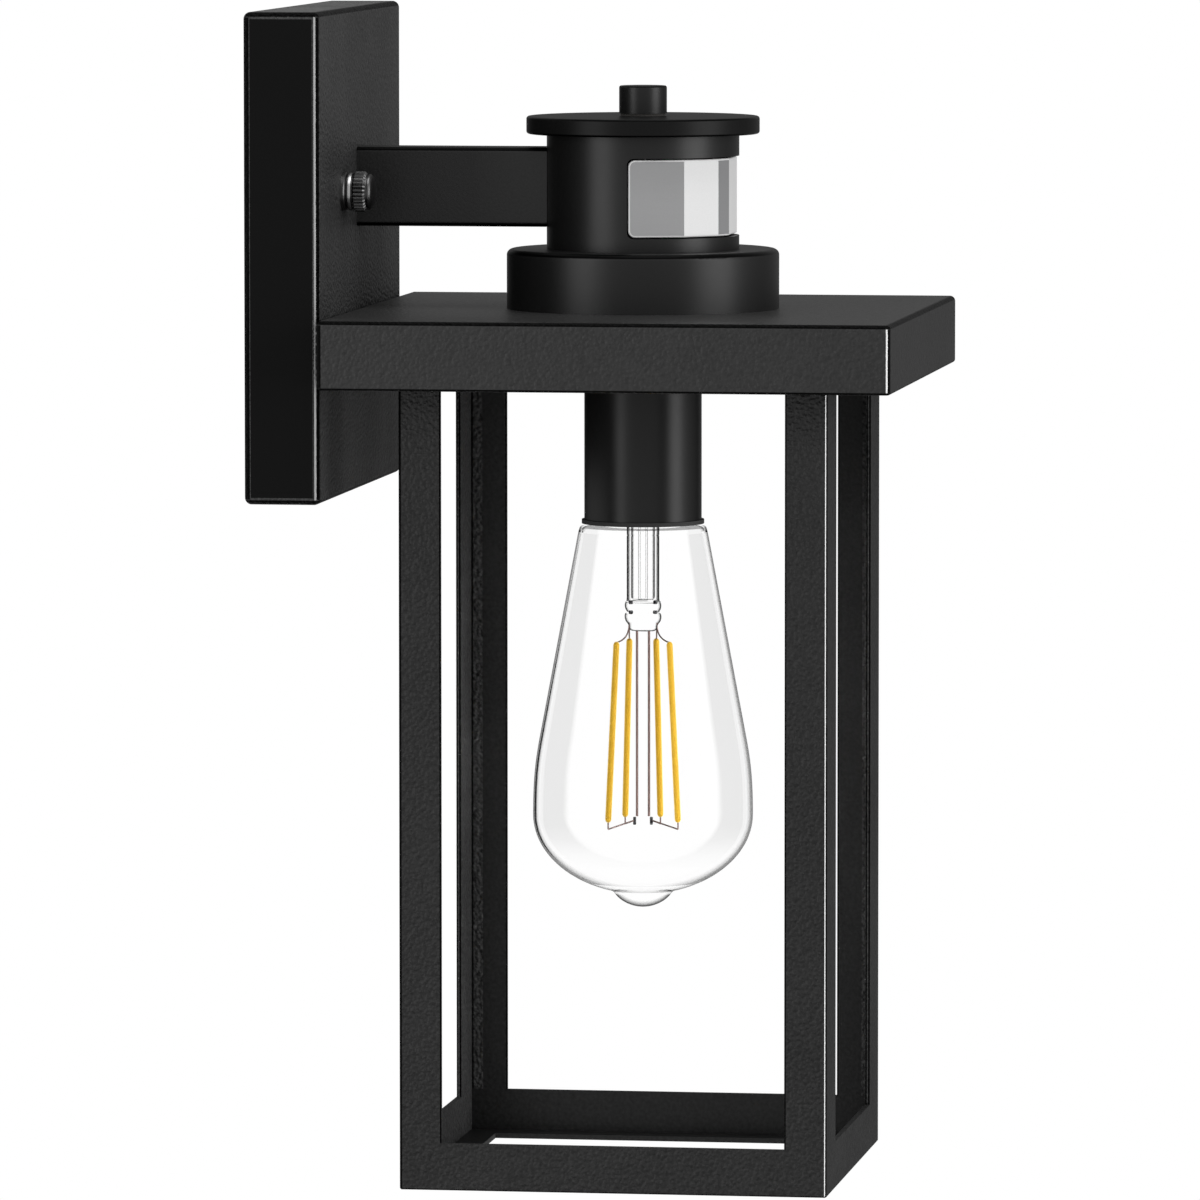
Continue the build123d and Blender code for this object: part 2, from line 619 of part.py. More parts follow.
with BuildPart() as pir_sensor:
    with BuildSketch(
        facing_front(0, SENSOR_BOARD_BACK + BOARD_THICKNESS, WINDOW_BASE + WINDOW_HEIGHT / 2)
    ):
        Circle(PIR_DIAMETER / 2)
    extrude(amount=PIR_HEIGHT)
pir_sensor.part.label = "pir_sensor"
export_step(pir_sensor.part, "parts/pir_sensor.step")

with BuildPart() as sensor_lid:
    with BuildSketch(level(LID_BASE)):
        Circle(LID_DIAMETER / 2)
    extrude(amount=LID_THICKNESS)
    fillet(sensor_lid.edges(), LID_EDGE_RADIUS)
    add_ring(
        level(LID_BASE),
        HOUSING_INNER - SLIP_FIT,
        HOUSING_INNER - SLIP_FIT - LID_SPIGOT_WALL,
        -LID_SPIGOT_DEPTH,
    )
    cut_hole(level(LID_BASE), ROD_HOLE, LID_THICKNESS)
sensor_lid.part.label = "sensor_lid"
export_step(sensor_lid.part, "parts/sensor_lid.step")

with BuildPart() as finial_washer:
    add_ring(
        level(LID_TOP + SEAT_GAP),
        FINIAL_WASHER_DIAMETER / 2,
        ROD_HOLE,
        FINIAL_WASHER_THICKNESS,
    )
finial_washer.part.label = "finial_washer"
export_step(finial_washer.part, "parts/finial_washer.step")

with BuildPart() as finial:
    with BuildSketch(level(FINIAL_BASE)):
        Circle(FINIAL_DIAMETER / 2)
    extrude(amount=FINIAL_THREAD + FINIAL_CROWN)
    fillet(finial.edges().group_by(Axis.Z)[-1], FINIAL_EDGE_RADIUS)
    cut_hole(level(FINIAL_BASE), ROD_DIAMETER / 2 + THREAD_FIT, FINIAL_THREAD + 2 * SCREW_ROOM)
finial.part.label = "finial"
export_step(finial.part, "parts/finial.step")

# Collar with the switching circuit hung from its ceiling
CONTROL_BOARD_TOP = COLLAR_CEILING - CONTROL_PILLAR_LENGTH
CONTROL_PILLAR_RING = COLLAR_INNER - CONTROL_PILLAR_INSET
CONTROL_BOARD_RADIUS = COLLAR_INNER - CONTROL_BOARD_ROOM
COMPONENT_RING = (CONTROL_BOARD_HOLE / 2 + CONTROL_BOARD_RADIUS) / 2
COMPONENT_HEIGHT = CONTROL_PILLAR_LENGTH - PART_HEADROOM

with BuildPart() as collar:
    with BuildSketch(level(CAP_TOP)):
        Circle(COLLAR_DIAMETER / 2)
    extrude(amount=COLLAR_HEIGHT)
    fillet(collar.edges().group_by(Axis.Z)[-1], COLLAR_EDGE_RADIUS)
    with BuildSketch(level(CAP_TOP)):
        Circle(COLLAR_INNER)
    extrude(amount=COLLAR_HEIGHT - COLLAR_WALL, mode=Mode.SUBTRACT)
    with BuildSketch(level(COLLAR_CEILING)):
        with PolarLocations(CONTROL_PILLAR_RING, CONTROL_PILLAR_COUNT, start_angle=90):
            Circle(CONTROL_PILLAR_DIAMETER / 2)
            Circle(BOARD_SCREW_DIAMETER / 2 + THREAD_FIT, mode=Mode.SUBTRACT)
    extrude(amount=-CONTROL_PILLAR_LENGTH)
    with BuildSketch(level(COLLAR_CEILING)):
        Circle(ROD_HOLE)
        with Locations((0, FLOOR_WIRE_PLACE)):
            Circle(WIRE_HOLE / 2)
    extrude(amount=COLLAR_WALL, mode=Mode.SUBTRACT)
collar.part.label = "collar"
export_step(collar.part, "parts/collar.step")

with BuildPart() as control_board:
    with BuildSketch(level(CONTROL_BOARD_TOP)):
        Circle(CONTROL_BOARD_RADIUS)
        Circle(CONTROL_BOARD_HOLE / 2, mode=Mode.SUBTRACT)
        with PolarLocations(CONTROL_PILLAR_RING, CONTROL_PILLAR_COUNT, start_angle=90):
            Circle(BOARD_SCREW_DIAMETER / 2 + SCREW_ROOM, mode=Mode.SUBTRACT)
    extrude(amount=-BOARD_THICKNESS)
control_board.part.label = "control_board"
export_step(control_board.part, "parts/control_board.step")

with BuildPart() as relay:
    with BuildSketch(level(CONTROL_BOARD_TOP)):
        with Locations((-COMPONENT_RING, 0)):
            Rectangle(RELAY_WIDTH, RELAY_LENGTH)
    extrude(amount=COMPONENT_HEIGHT)
relay.part.label = "relay"
export_step(relay.part, "parts/relay.step")

with BuildPart() as capacitor:
    with BuildSketch(level(CONTROL_BOARD_TOP)):
        with Locations((COMPONENT_RING, 0)):
            Circle(CAPACITOR_DIAMETER / 2)
    extrude(amount=COMPONENT_HEIGHT)
capacitor.part.label = "capacitor"
export_step(capacitor.part, "parts/capacitor.step")

with BuildPart() as board_screws:
    screw_sizes = (
        BOARD_SCREW_DIAMETER / 2,
        BOARD_SCREW_LENGTH,
        BOARD_SCREW_HEAD / 2,
        BOARD_SCREW_HEAD_HEIGHT,
    )
    for side in SIDES.values():
        add_screw(
            facing_front(
                side * PILLAR_SPACING / 2, SENSOR_BOARD_BACK + BOARD_THICKNESS, SENSOR_SCREW_HEIGHT
            ),
            *screw_sizes,
        )
    for count in range(CONTROL_PILLAR_COUNT):
        turn = radians(90 + count * 360 / CONTROL_PILLAR_COUNT)
        add_screw(
            facing_down(
                CONTROL_PILLAR_RING * cos(turn),
                CONTROL_PILLAR_RING * sin(turn),
                CONTROL_BOARD_TOP - BOARD_THICKNESS,
            ),
            *screw_sizes,
        )
board_screws.part.label = "board_screws"
export_step(board_screws.part, "parts/board_screws.step")

# Hollow rod and its nuts, from the lampholder up to the finial
with BuildPart() as centre_rod:
    add_ring(level(ROD_BOTTOM), ROD_DIAMETER / 2, ROD_BORE / 2, ROD_TOP - ROD_BOTTOM)
centre_rod.part.label = "centre_rod"
export_step(centre_rod.part, "parts/centre_rod.step")

with BuildPart() as rod_nuts:
    for nut_base in (FLOOR_TOP, CUP_TOP, HOLDER_TOP):
        add_hex_nut(
            level(nut_base), ROD_NUT_FLATS, ROD_DIAMETER / 2 + THREAD_FIT, ROD_NUT_THICKNESS
        )
rod_nuts.part.label = "rod_nuts"
export_step(rod_nuts.part, "parts/rod_nuts.step")

# Roof cap: an inverted tray with four tapped bosses under it
BOSS_FRONT = FRAME_HALF_DEPTH - TOP_RAIL_FLANGE / 2
BOSS_SIDE = FRAME_HALF_WIDTH - TOP_RAIL_FLANGE / 2
BOSS_PLACES = [(0, -BOSS_FRONT), (0, BOSS_FRONT), (-BOSS_SIDE, 0), (BOSS_SIDE, 0)]

with BuildPart() as roof_cap:
    with BuildSketch(level(CAP_TOP)):
        Rectangle(CAP_WIDTH, CAP_DEPTH)
    extrude(amount=-CAP_HEIGHT)
    open_face = roof_cap.faces().sort_by(Axis.Z)[0]
    fillet(roof_cap.edges() - open_face.edges(), CAP_EDGE_RADIUS)
    offset(amount=-CAP_WALL, openings=roof_cap.faces().sort_by(Axis.Z)[0])
    with BuildSketch(level(CAP_CEILING)):
        with Locations(*BOSS_PLACES):
            Circle(CAP_BOSS_DIAMETER / 2)
            Circle(FRAME_SCREW_DIAMETER / 2 + THREAD_FIT, mode=Mode.SUBTRACT)
    extrude(amount=-CAP_BOSS_HEIGHT)
    cut_hole(level(CAP_CEILING), ROD_HOLE, CAP_WALL)
roof_cap.part.label = "roof_cap"
export_step(roof_cap.part, "parts/roof_cap.step")

with BuildPart() as frame_screws:
    for boss_x, boss_y in BOSS_PLACES:
        add_screw(
            facing_down(boss_x, boss_y, FRAME_TOP - FRAME_SHEET),
            FRAME_SCREW_DIAMETER / 2,
            FRAME_SHEET + FRAME_SCREW_INTO_BOSS,
            FRAME_SCREW_HEAD / 2,
            FRAME_SCREW_HEAD_HEIGHT,
        )
frame_screws.part.label = "frame_screws"
export_step(frame_screws.part, "parts/frame_screws.step")

# Angle frame: two mitred rings of rails with a post at each corner
RAIL_MITRES = {
    "front": ((-1, -1), (1, -1)),
    "back": ((-1, 1), (1, 1)),
    "left": ((-1, -1), (-1, 1)),
    "right": ((1, -1), (1, 1)),
}


def angle_rail(mitre, top, height, flange, flange_top):
    """One side of a mitred ring of angle: an upright leg and a leg that lies inwards."""
    for leg_top, leg_height, leg_width in ((top, height, FRAME_SHEET), (flange_top, FRAME_SHEET, flange)):
        with BuildSketch(level(leg_top)) as ring:
            Rectangle(2 * FRAME_HALF_WIDTH, 2 * FRAME_HALF_DEPTH)
            Rectangle(
                2 * (FRAME_HALF_WIDTH - leg_width),
                2 * (FRAME_HALF_DEPTH - leg_width),
                mode=Mode.SUBTRACT,
            )
        extrude(ring.sketch, amount=-leg_height)
    with BuildSketch(level(top)) as sector:
        with BuildLine():
            ends = [(2 * x * FRAME_HALF_WIDTH, 2 * y * FRAME_HALF_DEPTH) for x, y in mitre]
            Polyline((0, 0), *ends, close=True)
        make_face()
    extrude(sector.sketch, amount=-height, mode=Mode.INTERSECT)


for rail_name, mitre in RAIL_MITRES.items():
    with BuildPart() as top_rail:
        angle_rail(mitre, FRAME_TOP, TOP_RAIL_HEIGHT, TOP_RAIL_FLANGE, FRAME_TOP)
        with BuildSketch(level(FRAME_TOP)):
            with Locations(*BOSS_PLACES):
                Circle(FRAME_SCREW_DIAMETER / 2 + SCREW_ROOM)
        extrude(amount=-FRAME_SHEET, mode=Mode.SUBTRACT)
    top_rail.part.label = f"top_rail_{rail_name}"
    export_step(top_rail.part, f"parts/top_rail_{rail_name}.step")

    with BuildPart() as bottom_rail:
        angle_rail(
            mitre,
            FRAME_BOTTOM + BOTTOM_RAIL_HEIGHT,
            BOTTOM_RAIL_HEIGHT,
            BOTTOM_RAIL_FLANGE,
            FRAME_BOTTOM + FRAME_SHEET,
        )
    bottom_rail.part.label = f"bottom_rail_{rail_name}"
    export_step(bottom_rail.part, f"parts/bottom_rail_{rail_name}.step")

POST_BOTTOM = FRAME_BOTTOM + BOTTOM_RAIL_HEIGHT
POST_LENGTH = FRAME_TOP - TOP_RAIL_HEIGHT - POST_BOTTOM

for face_name, face in {"front": -1, "back": 1}.items():
    for side_name, side in SIDES.items():
        corner = Plane(
            origin=(side * FRAME_HALF_WIDTH, face * FRAME_HALF_DEPTH - LANTERN_REACH, POST_BOTTOM),
            x_dir=(-side, 0, 0),
            z_dir=(0, 0, side * face),
        )
        with BuildPart() as corner_post:
            with BuildSketch(corner):
                Rectangle(POST_FRONT_LEG, FRAME_SHEET, align=(Align.MIN, Align.MIN))
                Rectangle(FRAME_SHEET, POST_SIDE_LEG, align=(Align.MIN, Align.MIN))
            extrude(amount=POST_LENGTH, dir=(0, 0, 1))
        corner_post.part.label = f"corner_post_{face_name}_{side_name}"
        export_step(corner_post.part, f"parts/corner_post_{face_name}_{side_name}.step")

# Lampholder inside its metal cup
HOLDER_CEILING = TIP_TOP + CONTACT_HEIGHT

with BuildPart() as socket_cup:
    with BuildSketch(level(CUP_TOP)):
        Circle(CUP_RADIUS)
    extrude(amount=-CUP_LENGTH)
    fillet(socket_cup.edges().group_by(Axis.Z)[-1], CUP_TOP_RADIUS)
    offset(amount=-CUP_WALL, openings=socket_cup.faces().sort_by(Axis.Z)[0])
    cut_hole(level(CUP_CEILING), ROD_HOLE, CUP_WALL)
socket_cup.part.label = "socket_cup"
export_step(socket_cup.part, "parts/socket_cup.step")

with BuildPart() as socket_body:
    with BuildSketch(level(HOLDER_TOP)):
        Circle(HOLDER_RADIUS)
    extrude(amount=HOLDER_BOTTOM - HOLDER_TOP)
    cut_hole(level(HOLDER_TOP), ROD_DIAMETER / 2 + THREAD_FIT, -HOLDER_THREAD - SCREW_ROOM)
    cut_hole(level(HOLDER_BOTTOM), HOLDER_BORE, SHELL_TOP - HOLDER_BOTTOM)
    cut_hole(level(SHELL_TOP), HOLDER_BORE - HOLDER_SHOULDER, HOLDER_CEILING - SHELL_TOP)
    cut_hole(level(HOLDER_CEILING), ROD_BORE / 2, HOLDER_TOP - HOLDER_CEILING)
socket_body.part.label = "socket_body"
export_step(socket_body.part, "parts/socket_body.step")

with BuildPart() as socket_shell:
    add_ring(level(SHELL_BOTTOM), SHELL_OUTER, SHELL_INNER, SHELL_TOP - SHELL_BOTTOM)
socket_shell.part.label = "socket_shell"
export_step(socket_shell.part, "parts/socket_shell.step")

# Centre contact: a bent leaf from the holder's ceiling to just above the bulb's tip
CONTACT_TIP = TIP_TOP + CONTACT_ROOM
with BuildPart() as socket_contact:
    with BuildSketch(SECTION):
        with BuildLine():
            leaf = Polyline(
                (-CONTACT_REACH, HOLDER_CEILING - CONTACT_SHEET / 2),
                (-CONTACT_REACH / 2, HOLDER_CEILING - CONTACT_SHEET / 2),
                (CONTACT_REACH / 6, CONTACT_TIP + CONTACT_SHEET / 2),
                (CONTACT_REACH / 2, CONTACT_TIP + CONTACT_SHEET / 2),
            )
        trace(leaf, line_width=CONTACT_SHEET)
    extrude(amount=CONTACT_WIDTH / 2, both=True)
socket_contact.part.label = "socket_contact"
export_step(socket_contact.part, "parts/socket_contact.step")

with BuildPart() as bulb_seal:
    add_ring(
        level(BULB_SEAT), CUP_RADIUS + SEAL_LIP, NECK_RADIUS + SEAL_ROOM, SEAL_THICKNESS
    )
bulb_seal.part.label = "bulb_seal"
export_step(bulb_seal.part, "parts/bulb_seal.step")

# Bulb: a clear envelope that widens from the neck to a round bottom with a small nub
NECK_TOP = BASE_BOTTOM + NECK_INSIDE
SHOULDER = BULB_SEAT - SHOULDER_DROP
WIDEST = BULB_SEAT - BULB_WIDEST_DROP
ROOT = BULB_SEAT - ROOT_DROP
ROOT_RADIUS = NECK_RADIUS + ROOT_REACH
# From the root out to the corner where the lines of flare and side meet
SIDE_ABOVE = BULB_SLOPE * (SHOULDER_DROP - ROOT_DROP)
CORNER_RUN = (SHOULDER_RADIUS - ROOT_RADIUS - SIDE_ABOVE) / (1 - BULB_SLOPE * ROOT_SLOPE)


def bulb_outline(inset):
    """Half of the bulb's section, set in from its outer surface."""
    widest_radius = BULB_DIAMETER / 2 - inset
    neck_radius = NECK_RADIUS - inset
    nub_radius = NUB_RADIUS - inset
    root_end = Vector(ROOT_RADIUS - inset, ROOT - inset)
    corner = root_end + Vector(CORNER_RUN, -ROOT_SLOPE * CORNER_RUN)
    shoulder_end = Vector(SHOULDER_RADIUS - inset, SHOULDER - inset)
    taper_end = shoulder_end + Vector(BULB_SLOPE * TAPER_LENGTH, -TAPER_LENGTH)
    flare = Vector(neck_radius, ROOT - inset + ROOT_SLOPE * ROOT_REACH)
    neck = Line((neck_radius, NECK_TOP), (neck_radius, BASE_BOTTOM - inset))
    Bezier(neck @ 1, flare, flare, root_end)
    Bezier(root_end, corner, corner, shoulder_end)
    Line(shoulder_end, taper_end)
    Spline(taper_end, (widest_radius, WIDEST), tangents=((BULB_SLOPE, -1), (0, -1)))
    nub_edge = degrees(acos((nub_radius + NUB_FILLET) / widest_radius))
    bottom = rounded_end(widest_radius, WIDEST, inset - BULB_BOTTOM_RISE, nub_edge)
    nub_side = Vector(nub_radius, (bottom @ 1).Y - NUB_STEP)
    nub_end = nub_side.Y - NUB_HEIGHT
    lean = Vector(NUB_FILLET / 3, NUB_STEP * 3 / 4)
    Bezier(bottom @ 1, nub_side + lean, nub_side)
    Bezier(nub_side, nub_side - lean * 2, (nub_radius / 2, nub_end), (0, nub_end))
    Polyline((0, nub_end), (0, NECK_TOP), neck @ 0)


with BuildPart() as bulb_glass:
    with BuildSketch(SECTION):
        with BuildLine():
            bulb_outline(0)
        make_face()
        with BuildLine():
            bulb_outline(GLASS_WALL)
        make_face(mode=Mode.SUBTRACT)
    revolve(axis=CENTRE_LINE)
bulb_glass.part.label = "bulb_glass"
export_step(bulb_glass.part, "parts/bulb_glass.step")

# Base: a thin shell crimped over the insulator, with the contact tip on top
CRIMP_RADIUS = BASE_RADIUS - BASE_CRIMP_INSET

with BuildPart() as bulb_base:
    with BuildSketch(SECTION):
        with BuildLine():
            Polyline(
                (BASE_RADIUS, BASE_BOTTOM),
                (BASE_RADIUS, BASE_TOP - BASE_CRIMP),
                (CRIMP_RADIUS, BASE_TOP),
                (CRIMP_RADIUS - BASE_WALL, BASE_TOP),
                (BASE_RADIUS - BASE_WALL, BASE_TOP - BASE_CRIMP - BASE_WALL),
                (BASE_RADIUS - BASE_WALL, BASE_BOTTOM),
                close=True,
            )
        make_face()
    revolve(axis=CENTRE_LINE)
bulb_base.part.label = "bulb_base"
export_step(bulb_base.part, "parts/bulb_base.step")

with BuildPart() as bulb_insulator:
    plug_radius = CRIMP_RADIUS - BASE_WALL - SLIP_FIT
    with BuildSketch(SECTION):
        with BuildLine():
            Polyline(
                (0, BASE_TOP + INSULATOR_HEIGHT),
                (INSULATOR_TOP_DIAMETER / 2, BASE_TOP + INSULATOR_HEIGHT),
                (CRIMP_RADIUS, BASE_TOP),
                (plug_radius, BASE_TOP),
                (plug_radius, BASE_TOP - INSULATOR_PLUG),
                (0, BASE_TOP - INSULATOR_PLUG),
                close=True,
            )
        make_face()
    revolve(axis=CENTRE_LINE)
bulb_insulator.part.label = "bulb_insulator"
export_step(bulb_insulator.part, "parts/bulb_insulator.step")

with BuildPart() as bulb_tip:
    tip_base = BASE_TOP + INSULATOR_HEIGHT
    with BuildSketch(SECTION):
        with BuildLine():
            dome = rounded_end(TIP_DIAMETER / 2, tip_base, TIP_HEIGHT)
            Polyline(dome @ 1, (0, tip_base), dome @ 0)
        make_face()
    revolve(axis=CENTRE_LINE)
bulb_tip.part.label = "bulb_tip"
export_step(bulb_tip.part, "parts/bulb_tip.step")

# Stem: a glass tube flared into the neck, pinched shut round the wires, with an exhaust tube inside
STEM_FLARE_TOP = NECK_TOP
STEM_PINCH = BULB_SEAT - STEM_LENGTH
STEM_END = STEM_PINCH - STEM_PINCH_LENGTH
FLARE_RADIUS = NECK_RADIUS - GLASS_WALL - SLIP_FIT
FLARE_LENGTH = NECK_INSIDE + BASE_RISE

with BuildPart() as bulb_stem:
    with BuildSketch(SECTION):
        with BuildLine():
            flare = Spline(
                (FLARE_RADIUS, STEM_FLARE_TOP),
                (STEM_RADIUS, STEM_FLARE_TOP - FLARE_LENGTH),
                tangents=((-STEM_FLARE_LEAN, -1), (0, -1)),
            )
            tube = Line(flare @ 1, (STEM_RADIUS, STEM_PINCH))
            pinch = Spline(
                tube @ 1,
                (STEM_PINCH_RADIUS, STEM_PINCH - STEM_PINCH_LENGTH / 3),
                (STEM_END_RADIUS, STEM_END),
                tangents=((0, -1), (-STEM_PINCH_LEAN, -1)),
            )
            inner_tube = STEM_RADIUS - STEM_WALL
            inner_end = Polyline(
                pinch @ 1,
                (0, STEM_END),
                (0, STEM_FLARE_TOP),
                (EXHAUST_RADIUS, STEM_FLARE_TOP),
                (EXHAUST_RADIUS, STEM_PINCH),
                (inner_tube, STEM_PINCH),
                (inner_tube, STEM_FLARE_TOP - FLARE_LENGTH),
            )
            inner_flare = Spline(
                inner_end @ 1,
                (FLARE_RADIUS - STEM_WALL, STEM_FLARE_TOP),
                tangents=((0, 1), (STEM_FLARE_LEAN, 1)),
            )
            Line(inner_flare @ 1, flare @ 0)
        make_face()
    revolve(axis=CENTRE_LINE)
bulb_stem.part.label = "bulb_stem"
export_step(bulb_stem.part, "parts/bulb_stem.step")

# Filaments on a slight cone round two support wires
FILAMENT_TOP = BULB_SEAT - FILAMENT_DROP
FILAMENT_BOTTOM = FILAMENT_TOP - FILAMENT_LENGTH
FILAMENT_ANGLES = [
    SUPPORT_TURN + FILAMENT_TURN + count * 360 / FILAMENT_COUNT for count in range(FILAMENT_COUNT)
]

with BuildPart() as bulb_filaments:
    for angle in FILAMENT_ANGLES:
        add_wire(
            round_the_axis(FILAMENT_TOP_RING, angle, FILAMENT_TOP),
            round_the_axis(FILAMENT_BOTTOM_RING, angle, FILAMENT_BOTTOM),
            FILAMENT_RADIUS,
        )
bulb_filaments.part.label = "bulb_filaments"
export_step(bulb_filaments.part, "parts/bulb_filaments.step")

with BuildPart() as bulb_wires:
    for count, angle in enumerate(FILAMENT_ANGLES):
        support_angle = SUPPORT_TURN if count % FILAMENT_COUNT in (0, 3) else SUPPORT_TURN + 180
        support_end = round_the_axis(SUPPORT_OFFSET, support_angle, FILAMENT_BOTTOM)
        support_start = round_the_axis(SUPPORT_OFFSET, support_angle, STEM_END)
        add_wire(support_start, support_end, WIRE_RADIUS)
        add_wire(
            support_end,
            round_the_axis(FILAMENT_BOTTOM_RING, angle, FILAMENT_BOTTOM - WIRE_RADIUS),
            WIRE_RADIUS,
        )
        add_wire(
            round_the_axis(SUPPORT_OFFSET, angle, STEM_END),
            round_the_axis(FILAMENT_TOP_RING, angle, FILAMENT_TOP + WIRE_RADIUS),
            WIRE_RADIUS,
        )
bulb_wires.part.label = "bulb_wires"
export_step(bulb_wires.part, "parts/bulb_wires.step")
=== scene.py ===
"""Looks of an outdoor wall lantern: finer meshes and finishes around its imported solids.

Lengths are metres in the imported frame: +Z up, the front towards -Y, the wall at Y = 0.
"""

import logging
import math
from collections.abc import Callable, Iterator, Sequence
from contextlib import contextmanager
from dataclasses import dataclass, field, replace
from enum import Enum
from functools import cache, reduce
from itertools import pairwise

import bmesh
import bpy
from mathutils import Matrix, Quaternion, Vector
from mathutils.geometry import interpolate_bezier


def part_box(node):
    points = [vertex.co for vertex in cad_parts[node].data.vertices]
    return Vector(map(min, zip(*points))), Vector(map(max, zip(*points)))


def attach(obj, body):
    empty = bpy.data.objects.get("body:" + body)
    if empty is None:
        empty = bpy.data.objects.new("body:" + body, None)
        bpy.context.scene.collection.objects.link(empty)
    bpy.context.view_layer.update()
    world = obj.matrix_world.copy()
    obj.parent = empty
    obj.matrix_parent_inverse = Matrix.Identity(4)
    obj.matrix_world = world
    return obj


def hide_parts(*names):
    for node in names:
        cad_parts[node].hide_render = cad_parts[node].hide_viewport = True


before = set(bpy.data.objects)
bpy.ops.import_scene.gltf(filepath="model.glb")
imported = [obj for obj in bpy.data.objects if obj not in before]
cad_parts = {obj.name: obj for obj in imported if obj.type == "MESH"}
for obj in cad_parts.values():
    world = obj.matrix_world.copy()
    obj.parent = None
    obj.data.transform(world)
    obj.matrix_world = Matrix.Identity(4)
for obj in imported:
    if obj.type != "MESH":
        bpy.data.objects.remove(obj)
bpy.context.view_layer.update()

Object = bpy.types.Object
Face = bpy.types.MeshPolygon
Material = bpy.types.Material
Node = bpy.types.Node
Socket = bpy.types.NodeSocket
Effect = bpy.types.NodeTree
Colour = tuple[float, float, float]
Point = tuple[float, float, float]
Spot = tuple[float, float]
Outline = list[Spot]

LOG = logging.getLogger("lantern")
MM = 0.001
WELD = 1e-6
TOUCH = 1e-5
SQUARE_ON = 0.999
LEVEL = 0.9
UPRIGHT = 0.1
SKIN = 0.12 * MM
QUARTER_TURNS = tuple(turn * math.pi / 2 for turn in (1, 2, 3))
FLIP_X = (-1.0, 1.0, 1.0)
FLIP_Y = (1.0, -1.0, 1.0)
FLIP_BOTH = (-1.0, -1.0, 1.0)


class Element(Enum):
    """What a selection in edit mode is made of."""

    VERTEX = "VERT"
    EDGE = "EDGE"
    FACE = "FACE"


class Facing(Enum):
    """Where the top of a piece that was made upright ends up pointing."""

    UP = (0.0, 0.0, 0.0)
    DOWN = (math.pi, 0.0, 0.0)
    FRONT = (math.pi / 2, 0.0, 0.0)
    BACK = (-math.pi / 2, 0.0, 0.0)


def take(piece: Object | None = None) -> None:
    """Deselects everything, and makes a piece the only selected and active object.

    Args:
        piece: The piece, or nothing before a primitive is added.
    """
    bpy.ops.object.select_all(action="DESELECT")
    if piece:
        piece.select_set(True)
        bpy.context.view_layer.objects.active = piece


@contextmanager
def editing(piece: Object) -> Iterator[None]:
    """Holds a piece open in edit mode, with all of it selected at first.

    Args:
        piece: The piece.

    Yields:
        Nothing. The piece leaves edit mode when the block ends.
    """
    take(piece)
    bpy.ops.object.mode_set(mode="EDIT")
    bpy.ops.mesh.select_mode(type="VERT")
    bpy.ops.mesh.select_all(action="SELECT")
    yield
    bpy.ops.object.mode_set(mode="OBJECT")


def choose(element: Element, test: Callable[..., bool]) -> None:
    """Selects what a test accepts in the piece that is open in edit mode.

    Args:
        element: Whether vertices, edges or faces are tested and selected.
        test: Takes one of them and says whether it is selected.
    """
    bpy.ops.mesh.select_mode(type=element.value)
    bpy.ops.mesh.select_all(action="DESELECT")
    mesh = bpy.context.edit_object.data
    shape = bmesh.from_edit_mesh(mesh)
    shape.normal_update()
    elements = {Element.VERTEX: shape.verts, Element.EDGE: shape.edges, Element.FACE: shape.faces}
    for item in elements[element]:
        if test(item):
            item.select_set(True)
    shape.select_flush_mode()
    bmesh.update_edit_mesh(mesh)


def is_upright(edge: bmesh.types.BMEdge) -> bool:
    """Whether an edge rises by more than a millimetre."""
    return abs(edge.verts[0].co.z - edge.verts[1].co.z) > MM


def stretch(step: Point) -> None:
    """Extrudes the selection by a step."""
    bpy.ops.mesh.extrude_region_move(TRANSFORM_OT_translate={"value": step})


def bevel(width: float, segments: int, affect: str = "EDGES") -> None:
    """Rounds the selected edges, or corners, of the piece that is open."""
    bpy.ops.mesh.bevel(offset=width, segments=segments, affect=affect)


def close_up() -> None:
    """Merges doubles and turns the faces outwards in the piece that is open."""
    bpy.ops.mesh.select_all(action="SELECT")
    bpy.ops.mesh.remove_doubles(threshold=WELD)
    bpy.ops.mesh.normals_make_consistent(inside=False)


def slice_at(place: Point, way: Point, drop: bool = True) -> None:
    """Cuts all of the open piece with a plane.

    Args:
        place: A point on the plane.
        way: The direction that the plane faces.
        drop: Whether what lies that way is dropped and the cut closed.
    """
    bpy.ops.mesh.select_all(action="SELECT")
    bpy.ops.mesh.bisect(plane_co=place, plane_no=way, use_fill=drop, clear_outer=drop, threshold=WELD)


def added(name: str) -> Object:
    """Names the object that was just added and puts its place into its mesh.

    Args:
        name: The piece's name.

    Returns:
        The piece, with its object at the origin.
    """
    piece = bpy.context.active_object
    take(piece)
    piece.name = name
    piece.data.name = name
    bpy.ops.object.transform_apply(location=True, rotation=True, scale=True)
    return piece


def block(name: str, low: Vector, high: Vector) -> Object:
    """A block to shape further.

    Args:
        name: The piece's name.
        low: Its lowest corner.
        high: Its highest corner.

    Returns:
        The block.
    """
    take()
    bpy.ops.mesh.primitive_cube_add(size=1.0, location=(low + high) / 2, scale=high - low)
    return added(name)


def settle(piece: Object, place: Point, facing: Facing = Facing.UP) -> Object:
    """Stands a piece that was made upright at the origin in its place.

    Args:
        piece: The piece.
        place: Where its origin goes.
        facing: Where its top points then.

    Returns:
        The same piece, with its object back at the origin.
    """
    take(piece)
    piece.rotation_euler = facing.value
    piece.location = place
    bpy.ops.object.transform_apply(location=True, rotation=True, scale=True)
    return piece


def copied(piece: Object, name: str) -> Object:
    """A copy of a piece with its own mesh.

    Args:
        piece: The piece to copy.
        name: The copy's name.

    Returns:
        The copy.
    """
    take(piece)
    bpy.ops.object.duplicate()
    return added(name)


